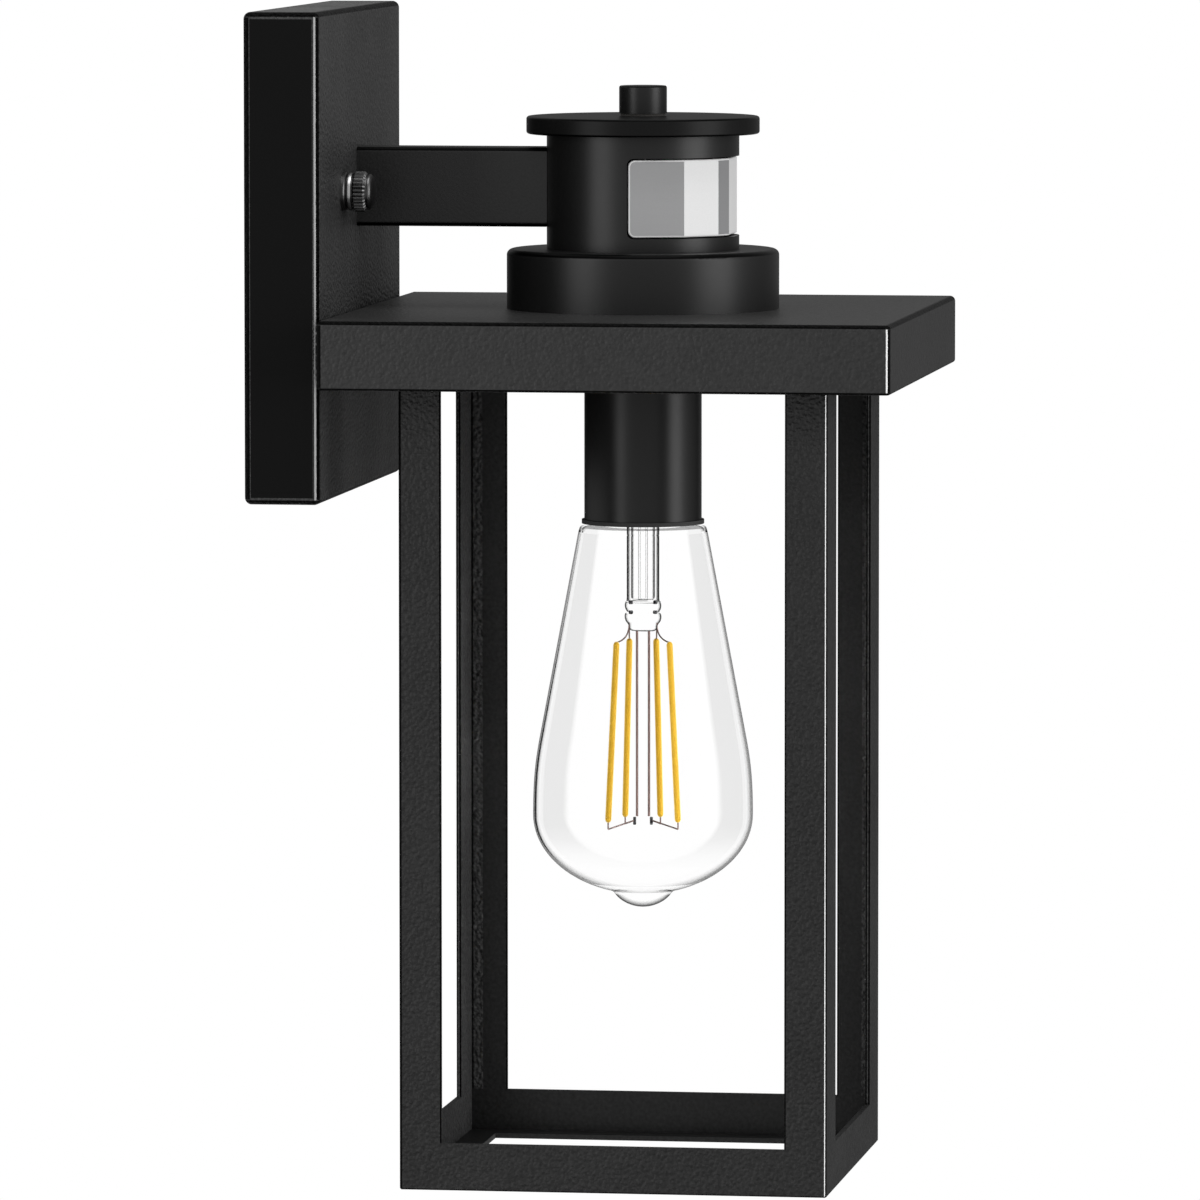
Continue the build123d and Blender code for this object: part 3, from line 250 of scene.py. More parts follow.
def turned_copy(piece: Object, name: str, centre: Vector, angle: float) -> Object:
    """A copy of a piece, turned about an upright line.

    Args:
        piece: The piece to copy.
        name: The copy's name.
        centre: A point on the line.
        angle: How far it turns, in radians, seen from above to the left.

    Returns:
        The copy.
    """
    twin = copied(piece, name)
    twin.location = centre - Matrix.Rotation(angle, 3, "Z") @ centre
    twin.rotation_euler.z = angle
    return added(name)


def mirrored_copy(piece: Object, name: str, centre: Vector, flip: Point) -> Object:
    """A copy of a piece, mirrored through a point.

    Args:
        piece: The piece to copy.
        name: The copy's name.
        centre: The point.
        flip: -1 along the axes that are mirrored, and 1 along the others.

    Returns:
        The copy, with its faces outwards.
    """
    twin = copied(piece, name)
    twin.scale = flip
    twin.location = centre - Vector(flip) * centre
    twin = added(name)
    with editing(twin):
        close_up()
    return twin


def joined(pieces: Sequence[Object], name: str) -> Object:
    """Several pieces made into one object.

    Args:
        pieces: The pieces.
        name: The name of the whole.

    Returns:
        The whole.
    """
    take(pieces[0])
    for piece in pieces:
        piece.select_set(True)
    bpy.ops.object.join()
    return added(name)


def joined_round(piece: Object, name: str, centre: Vector, angles: Sequence[float]) -> Object:
    """A piece and its copies turned about an upright line, made into one object.

    Args:
        piece: The piece to copy.
        name: The name of the whole.
        centre: A point on the line.
        angles: How far each copy turns, in radians.

    Returns:
        The whole.
    """
    copies = [turned_copy(piece, f"{name}_copy", centre, angle) for angle in angles]
    return joined([piece, *copies], name)


def shape_with(piece: Object, kind: str, **settings: object) -> None:
    """Adds a modifier to a piece, sets it and applies it.

    Args:
        piece: The piece.
        kind: Blender's name for the kind of modifier.
        settings: The modifier's own settings.
    """
    take(piece)
    modifier = piece.modifiers.new(kind.title(), kind)
    for setting, value in settings.items():
        setattr(modifier, setting, value)
    bpy.ops.object.modifier_apply(modifier=modifier.name)


def combine(piece: Object, tool: Object, operation: str = "DIFFERENCE") -> None:
    """Takes a tool's shape out of a piece, or adds it, and removes the tool."""
    shape_with(piece, "BOOLEAN", operation=operation, solver="EXACT", object=tool)
    bpy.data.objects.remove(tool)


def drill(piece: Object, place: Point, radius: float, depth: float, facing: Facing, sides: int) -> None:
    """Bores a round hole through a piece.

    Args:
        piece: The piece.
        place: The middle of the hole.
        radius: Half of its width.
        depth: How long the drill is.
        facing: Where the drill points.
        sides: How many flats the hole has.
    """
    bpy.ops.mesh.primitive_cylinder_add(
        vertices=sides, radius=radius, depth=depth, location=place, rotation=facing.value
    )
    combine(piece, added("drill"))


def round_off(piece: Object, degrees: float = 35.0) -> None:
    """Shades a piece smooth, with its flats flat.

    Args:
        piece: The piece.
        degrees: Edges that turn more than this stay sharp.
    """
    take(piece)
    bpy.ops.object.shade_smooth_by_angle(angle=math.radians(degrees))
    shape_with(piece, "WEIGHTED_NORMAL", keep_sharp=True)


def lies_at(face: Face, axis: int, place: float) -> bool:
    """Whether a face is square to an axis and lies at a place along it."""
    return abs(face.normal[axis]) > SQUARE_ON and abs(face.center[axis] - place) < SKIN


def steps(start: float, end: float, count: int) -> list[float]:
    """Evenly spaced values from a start to an end, with both."""
    return [start + (end - start) * step / count for step in range(count + 1)]


def traced(name: str, points: Sequence[Point]) -> Object:
    """A chain of edges through points, drawn by extruding one vertex.

    Args:
        name: The piece's name.
        points: The points in order.

    Returns:
        The chain, as a piece with no faces.
    """
    take()
    bpy.ops.mesh.primitive_plane_add(size=MM, location=points[0])
    piece = added(name)
    with editing(piece):
        bpy.ops.mesh.merge(type="CENTER")
        for start, end in pairwise(points):
            stretch(tuple(Vector(end) - Vector(start)))
    return piece


def turned(name: str, outline: Outline, flats: int) -> Object:
    """A shape turned round the upright axis at the origin.

    Args:
        name: The piece's name.
        outline: Radius and height of each point of half its section.
        flats: How many flats it has round the axis.

    Returns:
        The piece, with its faces outwards.
    """
    piece = traced(name, [(radius, 0.0, height) for radius, height in outline])
    with editing(piece):
        bpy.ops.mesh.spin(steps=flats, angle=math.tau, center=(0, 0, 0), axis=(0, 0, 1))
        close_up()
    return piece


def bend(start: Spot, pull: Spot, push: Spot, end: Spot, count: int = 12) -> Outline:
    """Points along a curve in an outline, without its first point.

    Args:
        start: Where the curve starts, as radius and height.
        pull: The handle that it leaves towards.
        push: The handle that it arrives from.
        end: Where it ends.
        count: How many points it gives.

    Returns:
        The points after the first.
    """
    points = interpolate_bezier(start, pull, push, end, count + 1)
    return [(point.x, point.y) for point in points[1:]]


def quarter(radius: float, height: float, rise: float, end: float, count: int) -> Outline:
    """Points along an elliptical bend, from its side in to a smaller radius.

    Args:
        radius: The radius at its side.
        height: The height there.
        rise: How far it would rise on the axis, less than nothing for a bend downwards.
        end: The radius at which it stops.
        count: How many points it gives.

    Returns:
        The points after the first.
    """
    sweep = math.acos(end / radius)
    angles = [sweep * step / count for step in range(1, count + 1)]
    return [(radius * math.cos(angle), height + rise * math.sin(angle)) for angle in angles]


def roll_thread(piece: Object, pitch: float, depth: float, low: float, high: float) -> None:
    """Presses a right-hand thread into an upright turned piece.

    Args:
        piece: The piece, with enough rings of vertices between the two heights.
        pitch: The rise of one turn.
        depth: How deep the groove goes.
        low: Where the thread starts.
        high: Where it ends.
    """
    for vertex in piece.data.vertices:
        across = vertex.co.xy.length
        if across < 2 * depth:
            continue
        fade = max(0.0, min(1.0, (vertex.co.z - low) / pitch, (high - vertex.co.z) / pitch))
        turn = vertex.co.z / pitch - math.atan2(vertex.co.y, vertex.co.x) / math.tau
        groove = depth * fade * (0.5 - 0.5 * math.cos(math.tau * turn))
        vertex.co.xy *= 1.0 - groove / across


def drawn_wire(name: str, path: Sequence[Point], radius: float) -> Object:
    """A round wire along one smooth bend.

    Args:
        name: The piece's name.
        path: Its start, the two handles of its bend and its end.
        radius: Half of its thickness.

    Returns:
        The wire as a closed mesh.
    """
    take()
    bpy.ops.curve.primitive_bezier_curve_add(location=(0, 0, 0))
    wire = bpy.context.active_object
    wire.data.bevel_depth = radius
    wire.data.bevel_resolution = 3
    wire.data.resolution_u = 14
    wire.data.use_fill_caps = True
    start, end = wire.data.splines[0].bezier_points
    for knot in (start, end):
        knot.handle_left_type = knot.handle_right_type = "FREE"
    start.co = start.handle_left = path[0]
    start.handle_right = path[1]
    end.handle_left = path[2]
    end.co = end.handle_right = path[3]
    bpy.ops.object.convert(target="MESH")
    return added(name)


@dataclass(frozen=True)
class PanScrew:
    """A pan-head screw with a cross recess, its seat at the origin and its head up."""

    head: float
    rise: float
    shank: float
    side: float = 0.35
    slot_width: float = 0.22
    slot_length: float = 1.15
    slot_depth: float = 1.1
    point: float = 0.7
    point_rise: float = 0.4

    def build(self, name: str, length: float) -> Object:
        """Turns the screw and cuts its recess.

        Args:
            name: The screw's name.
            length: The shank's length.

        Returns:
            The screw.
        """
        head, shank, side = self.head, self.shank, self.side * self.rise
        point = (self.point * shank, -length)
        outline = [(0.0, -length), point, (shank, self.point_rise * shank - length), (shank, 0.0)]
        outline += [(head, 0.0), (head, side), *quarter(head, side, self.rise - side, end=0.0, count=8)]
        screw = turned(name, outline, flats=40)
        middle = Vector((0.0, 0.0, self.rise))
        slot = (self.slot_width * head, self.slot_length * head)
        for across in (slot, slot[::-1]):
            reach = Vector((*across, self.slot_depth * self.rise)) / 2
            combine(screw, block("recess", middle - reach, middle + reach))
        return screw


class Tree:
    """A shader node tree, with one short call for a node, its values and its links."""

    def __init__(self, tree: Effect) -> None:
        """Takes the tree that nodes are added to."""
        self.tree = tree

    def fill(self, node: Node, inputs: dict[str | int, object]) -> None:
        """Sets a node's inputs.

        Args:
            node: The node.
            inputs: Values for its sockets, or sockets that are linked to them.
        """
        for name, value in inputs.items():
            socket = node.inputs[name]
            if isinstance(value, Socket):
                self.tree.links.new(value, socket)
            else:
                socket.default_value = (*value, 1.0) if socket.type == "RGBA" else value

    def add(self, kind: str, inputs: dict | None = None, **settings: object) -> Node:
        """Adds a node.

        Args:
            kind: Blender's name for the node.
            inputs: Values for its sockets, or sockets that are linked to them.
            settings: The node's own settings.

        Returns:
            The node.
        """
        node = self.tree.nodes.new(kind)
        for setting, value in settings.items():
            setattr(node, setting, value)
        self.fill(node, inputs or {})
        return node

    def figure(self, operation: str, *values: object) -> Socket:
        """A Math node's result."""
        return self.add("ShaderNodeMath", dict(enumerate(values)), operation=operation).outputs[0]

    def product(self, *values: object) -> Socket:
        """Values multiplied by one another."""
        return reduce(lambda whole, value: self.figure("MULTIPLY", whole, value), values)

    def vector(self, operation: str, inputs: dict[str | int, object]) -> Socket:
        """A Vector Math node's result, as the value or vector that it gives."""
        outputs = self.add("ShaderNodeVectorMath", inputs, operation=operation).outputs
        return outputs["Value"] if operation in ("DOT_PRODUCT", "LENGTH") else outputs["Vector"]

    def between(self, factor: object, dark: object, light: object) -> Socket:
        """A colour between two colours."""
        return self.add("ShaderNodeMix", {0: factor, 6: dark, 7: light}, data_type="RGBA").outputs[2]

    def spread(self, value: object, low: float, high: float) -> Socket:
        """A value from 0 to 1 mapped to a range."""
        inputs = {"Value": value, "To Min": low, "To Max": high}
        return self.add("ShaderNodeMapRange", inputs).outputs["Result"]

    def ramp(self, value: object, start: float, end: float) -> Socket:
        """A value mapped to 0 at a start and 1 at an end."""
        inputs = {"Value": value, "From Min": start, "From Max": end}
        return self.add("ShaderNodeMapRange", inputs).outputs["Result"]

    def window(self, value: object, rise: Spot, fall: Spot) -> Socket:
        """1 between two spans of a value, over which it rises from 0 and falls back to 0."""
        return self.product(self.ramp(value, *rise), self.ramp(value, *reversed(fall)))

    def coordinates(self, kind: str) -> Socket:
        """Where a point lies, or how its face is turned, in the piece's own frame."""
        return self.add("ShaderNodeTexCoord").outputs[kind]

    def parts(self, vector: Socket) -> bpy.types.NodeOutputs:
        """A vector's X, Y and Z."""
        return self.add("ShaderNodeSeparateXYZ", {0: vector}).outputs

    def noise(self, place: Socket, scale: Socket, detail: float, roughness: float = 0.5) -> Socket:
        """Cloudy noise from 0 to 1."""
        inputs = {"Vector": place, "Scale": scale, "Detail": detail, "Roughness": roughness}
        return self.add("ShaderNodeTexNoise", inputs).outputs["Fac"]

    def bump(self, strength: float, depth: float, height: Socket) -> Socket:
        """A normal that follows a height."""
        inputs = {"Strength": strength, "Distance": depth, "Height": height}
        return self.add("ShaderNodeBump", inputs).outputs["Normal"]

    def slant(self) -> Socket:
        """How far the surface turns away from the eye, from 0 to 1."""
        return self.add("ShaderNodeLayerWeight", {"Blend": 0.5}).outputs["Facing"]

    def behind(self) -> Socket:
        """1 where the surface is seen from its back."""
        return self.add("ShaderNodeNewGeometry").outputs["Backfacing"]

    def group(self, effect: Effect, inputs: dict[str, float]) -> bpy.types.NodeOutputs:
        """A shared effect's outputs, with this material's own values."""
        return self.add("ShaderNodeGroup", inputs, node_tree=effect).outputs


def new_effect(
    name: str, inputs: dict[str, float], outputs: Sequence[str]
) -> tuple[Tree, bpy.types.NodeOutputs, Node]:
    """Starts a shared effect as a node group.

    Args:
        name: The effect's name.
        inputs: Its inputs with their first values.
        outputs: The names of the values that it gives.

    Returns:
        Its tree, its inputs as sockets and the node for its outputs.
    """
    effect = bpy.data.node_groups.new(name, "ShaderNodeTree")
    for socket, value in inputs.items():
        made = effect.interface.new_socket(socket, in_out="INPUT", socket_type="NodeSocketFloat")
        made.default_value = value
    for socket in outputs:
        effect.interface.new_socket(socket, in_out="OUTPUT", socket_type="NodeSocketFloat")
    tree = Tree(effect)
    return tree, tree.add("NodeGroupInput").outputs, tree.add("NodeGroupOutput")


def grain_effect() -> Effect:
    """Fine grain with a broad mottle, for coats, plastics and rubber.

    Returns:
        The effect, which gives a tone and a height.
    """
    tree, given, result = new_effect(
        "coat_grain", {"Grain": 1400.0, "Mottle": 30.0}, ("Tone", "Height")
    )
    place = tree.coordinates("Object")
    fine = tree.product(tree.noise(place, given["Grain"], detail=2.0, roughness=0.55), 0.7)
    cells = {"Vector": place, "Scale": given["Grain"], "Smoothness": 0.6}
    bumps = tree.add("ShaderNodeTexVoronoi", cells, feature="SMOOTH_F1").outputs["Distance"]
    mottle = tree.noise(place, given["Mottle"], detail=3.0)
    tone = tree.figure("MULTIPLY_ADD", mottle, 0.3, fine)
    tree.fill(result, {"Tone": tone, "Height": tree.figure("MULTIPLY_ADD", bumps, -0.8, fine)})
    return tree.tree


def rub_and_glint_effect() -> Effect:
    """A mask along the edges, where a coat is rubbed thin and where a painted highlight lightens it.

    Returns:
        The effect, which gives a mask.
    """
    tree, given, result = new_effect("edge_rub_and_glint", {"Width": 0.8 * MM}, ("Mask",))
    rounded = tree.add("ShaderNodeBevel", {"Radius": given["Width"]}, samples=4).outputs["Normal"]
    flat = tree.add("ShaderNodeNewGeometry").outputs["Normal"]
    likeness = tree.vector("DOT_PRODUCT", {0: rounded, 1: flat})
    tree.fill(result, {"Mask": tree.ramp(likeness, start=0.99, end=0.8)})
    return tree.tree


def lines_effect() -> Effect:
    """Fine lines round an upright axis, as drawing or turning leaves them on metal.

    Returns:
        The effect, which gives a tone and a height.
    """
    tree, given, result = new_effect(
        "drawn_lines", {"Lines": 4000.0, "Spots": 300.0}, ("Tone", "Height")
    )
    place = tree.coordinates("Object")
    drawn_out = tree.add("ShaderNodeMapping", {"Vector": place, "Scale": (0.05, 0.05, 1.0)}).outputs[0]
    lines = tree.noise(drawn_out, given["Lines"], detail=2.0)
    spots = tree.noise(place, given["Spots"], detail=3.0)
    tone = tree.figure("MULTIPLY_ADD", spots, 0.5, tree.product(lines, 0.5))
    tree.fill(result, {"Tone": tone, "Height": lines})
    return tree.tree


def painted_edge_effect() -> Effect:
    """Painted shade and a painted highlight on rounded edges, read from how far the surface leans.

    Returns:
        The effect, which gives a mask of painted shade, black along rounded edges, and one of a painted
        highlight on upright corners that face the front.
    """
    tree, given, result = new_effect("painted_edge_shade_and_highlight", {"Corner": 1.0, "Highlight Share": 1.0}, ("Painted Shade", "Painted Highlight"))
    normal = tree.coordinates("Normal")
    size = tree.parts(tree.vector("ABSOLUTE", {0: normal}))
    level = tree.figure("SQRT", tree.figure("SUBTRACT", 1.0, tree.product(size["Z"], size["Z"])))
    # Painted shade on bevels between the top and the sides.
    fold = tree.ramp(tree.figure("MAXIMUM", level, size["Z"]), start=0.97, end=0.93)
    corner = tree.product(tree.ramp(size["Z"], start=0.35, end=0.2), given["Corner"])
    lean = tree.figure("DIVIDE", size["Y"], tree.figure("MAXIMUM", size["X"], 0.001))
    # Painted shade on upright corner bevels, and a painted highlight on a narrow part of them facing the
    # front.
    flank = tree.window(lean, rise=(0.08, 0.14), fall=(1.9, 2.4))
    line = tree.window(lean, rise=(0.19, 0.24), fall=(0.52, 0.60))
    front = tree.ramp(tree.parts(normal)["Y"], start=0.0, end=-0.1)
    tree.fill(result, {
        "Painted Shade": tree.figure("MAXIMUM", fold, tree.product(flank, corner)),
        "Painted Highlight": tree.product(line, tree.product(corner, front, given["Highlight Share"])),
    })
    return tree.tree


GRAIN = grain_effect()
EDGE_RUB_AND_GLINT = rub_and_glint_effect()
PAINTED_EDGES = painted_edge_effect()
DRAWN_LINES = lines_effect()
WHITE = (1.0, 1.0, 1.0)


def grey(value: float) -> Colour:
    """A colour with no hue."""
    return (value, value, value)


def shade(colour: Colour, share: float) -> Colour:
    """A colour made darker or lighter, to a share of itself."""
    return tuple(min(1.0, part * share) for part in colour)


def new_material(name: str) -> tuple[Material, Tree, Node]:
    """A material with only its shader and its output.

    Args:
        name: The material's name.

    Returns:
        The material, its tree and its Principled BSDF.
    """
    material = bpy.data.materials.new(name)
    material.use_nodes = True
    return material, Tree(material.node_tree), material.node_tree.nodes["Principled BSDF"]


@dataclass(frozen=True)
class CoatFinish:
    """A paint, plastic, rubber, fibre or ceramic surface with grain, and edges lightened partly as rubbing
    and partly as a painted highlight.
    """

    name: str
    colour: Colour
    roughness: float
    grain: float = 0.7 * MM
    depth: float = 0.05 * MM
    contrast: float = 0.25
    uneven: float = 0.08
    relief: float = 0.6
    # How far and how wide edges lighten, partly as rubbing and partly as a painted highlight.
    rub: float = 0.3
    rub_and_glint_width: float = 0.7 * MM
    specular: float = 0.5

    def lay(self, tree: Tree, shader: Node, bare: Socket | None = None) -> tuple[Socket, Socket]:
        """Puts the grain into a shader's roughness and normal.

        Args:
            tree: The material's tree.
            shader: Its Principled BSDF.
            bare: A mask of the painted highlight, where the grain fades.

        Returns:
            The grain's tone and the coat's colour away from edges.
        """
        grain = tree.group(GRAIN, {"Grain": 1.0 / self.grain, "Mottle": 0.03 / self.grain})
        tone, height = grain["Tone"], grain["Height"]
        if bare is not None:
            height = tree.product(height, tree.spread(bare, low=1.0, high=0.0))
        dark, light = (shade(self.colour, 1.0 + side * self.contrast) for side in (-1, 1))
        tree.fill(shader, {
            "Roughness": tree.spread(tone, self.roughness - self.uneven, self.roughness + self.uneven),
            "Normal": tree.bump(self.relief, self.depth, height),
            "Specular IOR Level": self.specular,
        })
        return tone, tree.between(tree.spread(tone, low=-0.6, high=1.6), dark, light)

    def make(self) -> Material:
        """Makes the finish.

        Returns:
            The finish as a material.
        """
        material, tree, shader = new_material(self.name)
        tone, plain = self.lay(tree, shader)
        # Lighter along edges: partly rubbing, partly a painted highlight.
        edge = tree.group(EDGE_RUB_AND_GLINT, {"Width": self.rub_and_glint_width})["Mask"]
        rubbed_and_lit = tuple(min(1.0, part * (1.0 + 2.0 * self.rub) + 0.02 * self.rub) for part in self.colour)
        tree.fill(shader, {"Base Color": tree.between(tree.product(edge, tone), plain, rubbed_and_lit)})
        return material


@dataclass(frozen=True)
class BlackFinish(CoatFinish):
    """A black coat with painted shade along rounded edges and a painted highlight of bright metal on upright
    corners.
    """

    # Colours of the painted shade and the painted highlight, and how much of each the upright corners take.
    fold: Colour = grey(0.002)
    bare: Colour = grey(0.62)
    corner: float = 0.0
    wear: float = 0.0

    def make(self) -> Material:
        """Makes the finish.

        Returns:
            The finish as a material.
        """
        material, tree, shader = new_material(self.name)
        edge = tree.group(PAINTED_EDGES, {"Corner": self.corner, "Highlight Share": self.wear})
        _, plain = self.lay(tree, shader, edge["Painted Highlight"])
        # Painted shade: black along rounded edges; painted highlight: bright metal on corners facing the
        # front.
        dimmed = tree.between(edge["Painted Shade"], plain, self.fold)
        tree.fill(shader, {
            "Base Color": tree.between(edge["Painted Highlight"], dimmed, self.bare),
            "Metallic": tree.figure("MAXIMUM", edge["Painted Shade"], edge["Painted Highlight"]),
        })
        return material


@dataclass(frozen=True)
class MetalFinish:
    """Uncoated or plated metal with drawn lines, faint spots and edges lightened partly as rubbing and
    partly as a painted highlight.
    """

    name: str
    colour: Colour
    roughness: float
    lines: float = 0.2 * MM
    depth: float = 0.01 * MM
    dimmed: float = 0.75
    bright: float = 1.15
    uneven: float = 0.1
    relief: float = 0.4
    rub_and_glint_width: float = 0.3 * MM

    def make(self) -> Material:
        """Makes the finish.

        Returns:
            The finish as a material.
        """
        material, tree, shader = new_material(self.name)
        lines = tree.group(DRAWN_LINES, {"Lines": 1.0 / self.lines, "Spots": 0.1 / self.lines})
        tone = lines["Tone"]
        # Brighter along edges: partly rubbing, partly a painted highlight.
        edge = tree.group(EDGE_RUB_AND_GLINT, {"Width": self.rub_and_glint_width})["Mask"]
        bright = shade(self.colour, self.bright)
        plain = tree.between(tone, shade(self.colour, self.dimmed), bright)
        tree.fill(shader, {
            "Base Color": tree.between(edge, plain, bright),
            "Roughness": tree.spread(tone, self.roughness + self.uneven, self.roughness - self.uneven),
            "Normal": tree.bump(self.relief, self.depth, lines["Height"]),
            "Metallic": 1.0,
        })
        return material


@dataclass(frozen=True)
class GlassFinish:
    """Clear glass, with a painted reflection as a pale band at a slant to the eye and painted shade as a
    dark rim where it turns away.
    """

    name: str
    band: float = 1.0
    band_from: float = 0.28
    band_to: float = 0.59
    band_soft: Spot = (0.02, 0.01)
    band_rise: Spot = (-0.72, -0.3)
    rim: float = 1.0
    rim_from: float = 0.65
    rim_to: float = 0.80
    rim_top: float = 0.35
    rim_soft: float = 0.1
    index: float = 1.03

    def make(self) -> Material:
        """Makes the finish.

        Returns:
            The finish as a material.
        """
        material, tree, shader = new_material(self.name)
        slant = tree.slant()
        upward = tree.parts(tree.coordinates("Normal"))["Z"]
        rise = tree.product(upward, tree.spread(tree.behind(), low=1.0, high=-1.0))
        inner, outer = (
            (end - soft, end + soft) for end, soft in zip((self.band_from, self.band_to), self.band_soft)
        )
        # Painted reflection: a pale band at a slant; painted shade: a dark rim where the glass turns away.
        band = tree.product(tree.window(slant, inner, outer), tree.ramp(rise, *self.band_rise))
        edge = tree.ramp(slant, self.rim_from, self.rim_to)
        rim = tree.product(edge, tree.ramp(rise, self.rim_top + self.rim_soft, self.rim_top))
        pale = tree.between(band, WHITE, grey(self.band))
        ripple = tree.group(GRAIN, {"Grain": 90.0, "Mottle": 30.0})["Tone"]
        tree.fill(shader, {
            "Base Color": tree.between(rim, pale, grey(self.rim)),
            "Roughness": tree.spread(ripple, low=0.0, high=0.02),
            "Normal": tree.bump(strength=0.15, depth=0.05 * MM, height=ripple),
            "Transmission Weight": 1.0,
            "IOR": self.index,
        })
        return material


@dataclass(frozen=True)
class LensFinish:
    """Milky lens plastic, grey or pale by facet as painted light and shade, with fine moulded ridges."""

    name: str
    dark: Colour
    pale: Colour
    ridge: float

    def make(self) -> Material:
        """Makes the finish.

        Returns:
            The finish as a material.
        """
        material, tree, shader = new_material(self.name)
        # Painted light and shade, read per face from the lens.
        facet = tree.add("ShaderNodeAttribute", attribute_name=SensorLens.TONE).outputs["Fac"]
        cloud = tree.group(GRAIN, {"Grain": 2500.0, "Mottle": 60.0})["Tone"]
        colour = tree.between(facet, self.dark, self.pale)
        place = tree.coordinates("Object")
        wave = {"Vector": place, "Scale": 0.1 / self.ridge, "Distortion": 0.0}
        ridges = tree.add("ShaderNodeTexWave", wave, bands_direction="Z").outputs["Fac"]
        tree.fill(shader, {
            "Base Color": tree.vector("SCALE", {0: colour, "Scale": tree.spread(cloud, low=0.9, high=1.04)}),
            "Roughness": tree.spread(cloud, low=0.25, high=0.45),
            "Normal": tree.bump(strength=0.25, depth=0.05 * MM, height=ridges),
        })
        return material


@dataclass(frozen=True)
class FilamentFinish:
    """An amber light-strip with a dimpled silicone coat, a painted sheen towards its edges and faint
    emission as painted light.
    """

    name: str
    colour: Colour
    pale: Colour
    painted_sheen: Colour
    dimple: float
    painted_glow: float
    specular: float = 0.1

    def make(self) -> Material:
        """Makes the finish.

        Returns:
            The finish as a material.
        """
        material, tree, shader = new_material(self.name)
        grain = tree.group(GRAIN, {"Grain": 1.0 / self.dimple, "Mottle": 80.0})
        tone = grain["Tone"]
        plain = tree.between(tree.spread(tone, low=-0.4, high=1.4), self.colour, self.pale)
        # Painted sheen: paler where the strip turns away from the eye; the emission is painted light.
        colour = tree.between(tree.ramp(tree.slant(), start=0.35, end=0.9), plain, self.painted_sheen)
        tree.fill(shader, {
            "Base Color": colour,
            "Emission Color": colour,
            "Emission Strength": self.painted_glow,
            "Roughness": tree.spread(tone, low=0.3, high=0.5),
            "Normal": tree.bump(strength=0.5, depth=0.1 * MM, height=grain["Height"]),
            "Specular IOR Level": self.specular,
        })
        return material


Finish = CoatFinish | MetalFinish | GlassFinish | LensFinish | FilamentFinish

# Black coats carry painted shade along rounded edges; with a corner share they also carry painted shade and
# a painted highlight on upright corners.
POWDER_COAT = BlackFinish(
    "powder_coat", grey(0.012), 0.5, grain=1.1 * MM, depth=0.4 * MM, contrast=0.7, specular=0.29,
    corner=1.0, wear=1.0,
)
# A lighter, glossier copy for the cap's top: painted light.
CAP_LIT_TOP = replace(POWDER_COAT, name="cap_lit_top", colour=grey(0.018), roughness=0.38)
PLATE_COAT = replace(
    POWDER_COAT, name="plate_coat", colour=grey(0.022), depth=1.0 * MM, contrast=0.95, specular=0.33,
    bare=grey(0.3),
)
# Plate copies: a lighter top as painted light and darker sides as painted shade.
PLATE_LIT_TOP = replace(PLATE_COAT, name="plate_lit_top", colour=grey(0.08), roughness=0.4)
PLATE_SHADED_SIDE = CoatFinish(
    "plate_shaded_side", grey(0.005), 0.6, grain=0.4 * MM, depth=0.01 * MM, contrast=0.1, specular=0.04
)
FRAME_COAT = replace(
    POWDER_COAT, name="frame_coat", colour=grey(0.011), depth=0.9 * MM, contrast=0.95, specular=0.21,
    wear=0.0,
)
# Frame copies: darker inside as painted shade, a painted highlight on the outer corners, and lighter in the
# folds as painted light.
FRAME_SHADED_INSIDE = replace(FRAME_COAT, name="frame_shaded_inside", colour=grey(0.009), depth=0.1 * MM)
FRAME_HIGHLIT_CORNER = replace(FRAME_COAT, name="frame_corner", bare=grey(0.7), wear=1.0)
FRAME_LIT_FOLD = replace(FRAME_COAT, name="frame_lit_fold", colour=grey(0.034))
SATIN_BLACK = BlackFinish(
    "satin_black", grey(0.006), 0.36, grain=0.5 * MM, depth=0.01 * MM, contrast=0.2, specular=0.22
)
LID_BLACK = replace(SATIN_BLACK, name="lid_black", colour=grey(0.005), specular=0.08)
ARM_BLACK = BlackFinish("arm_black", grey(0.012), 0.45, grain=0.8 * MM, contrast=0.3, specular=0.28)
NUT_BLACK = MetalFinish("nut_black", grey(0.085), 0.34)
# A brighter copy for the nut's flange: partly a polished face, partly a painted highlight.
NUT_FLANGE = MetalFinish("nut_flange", grey(0.36), 0.32)
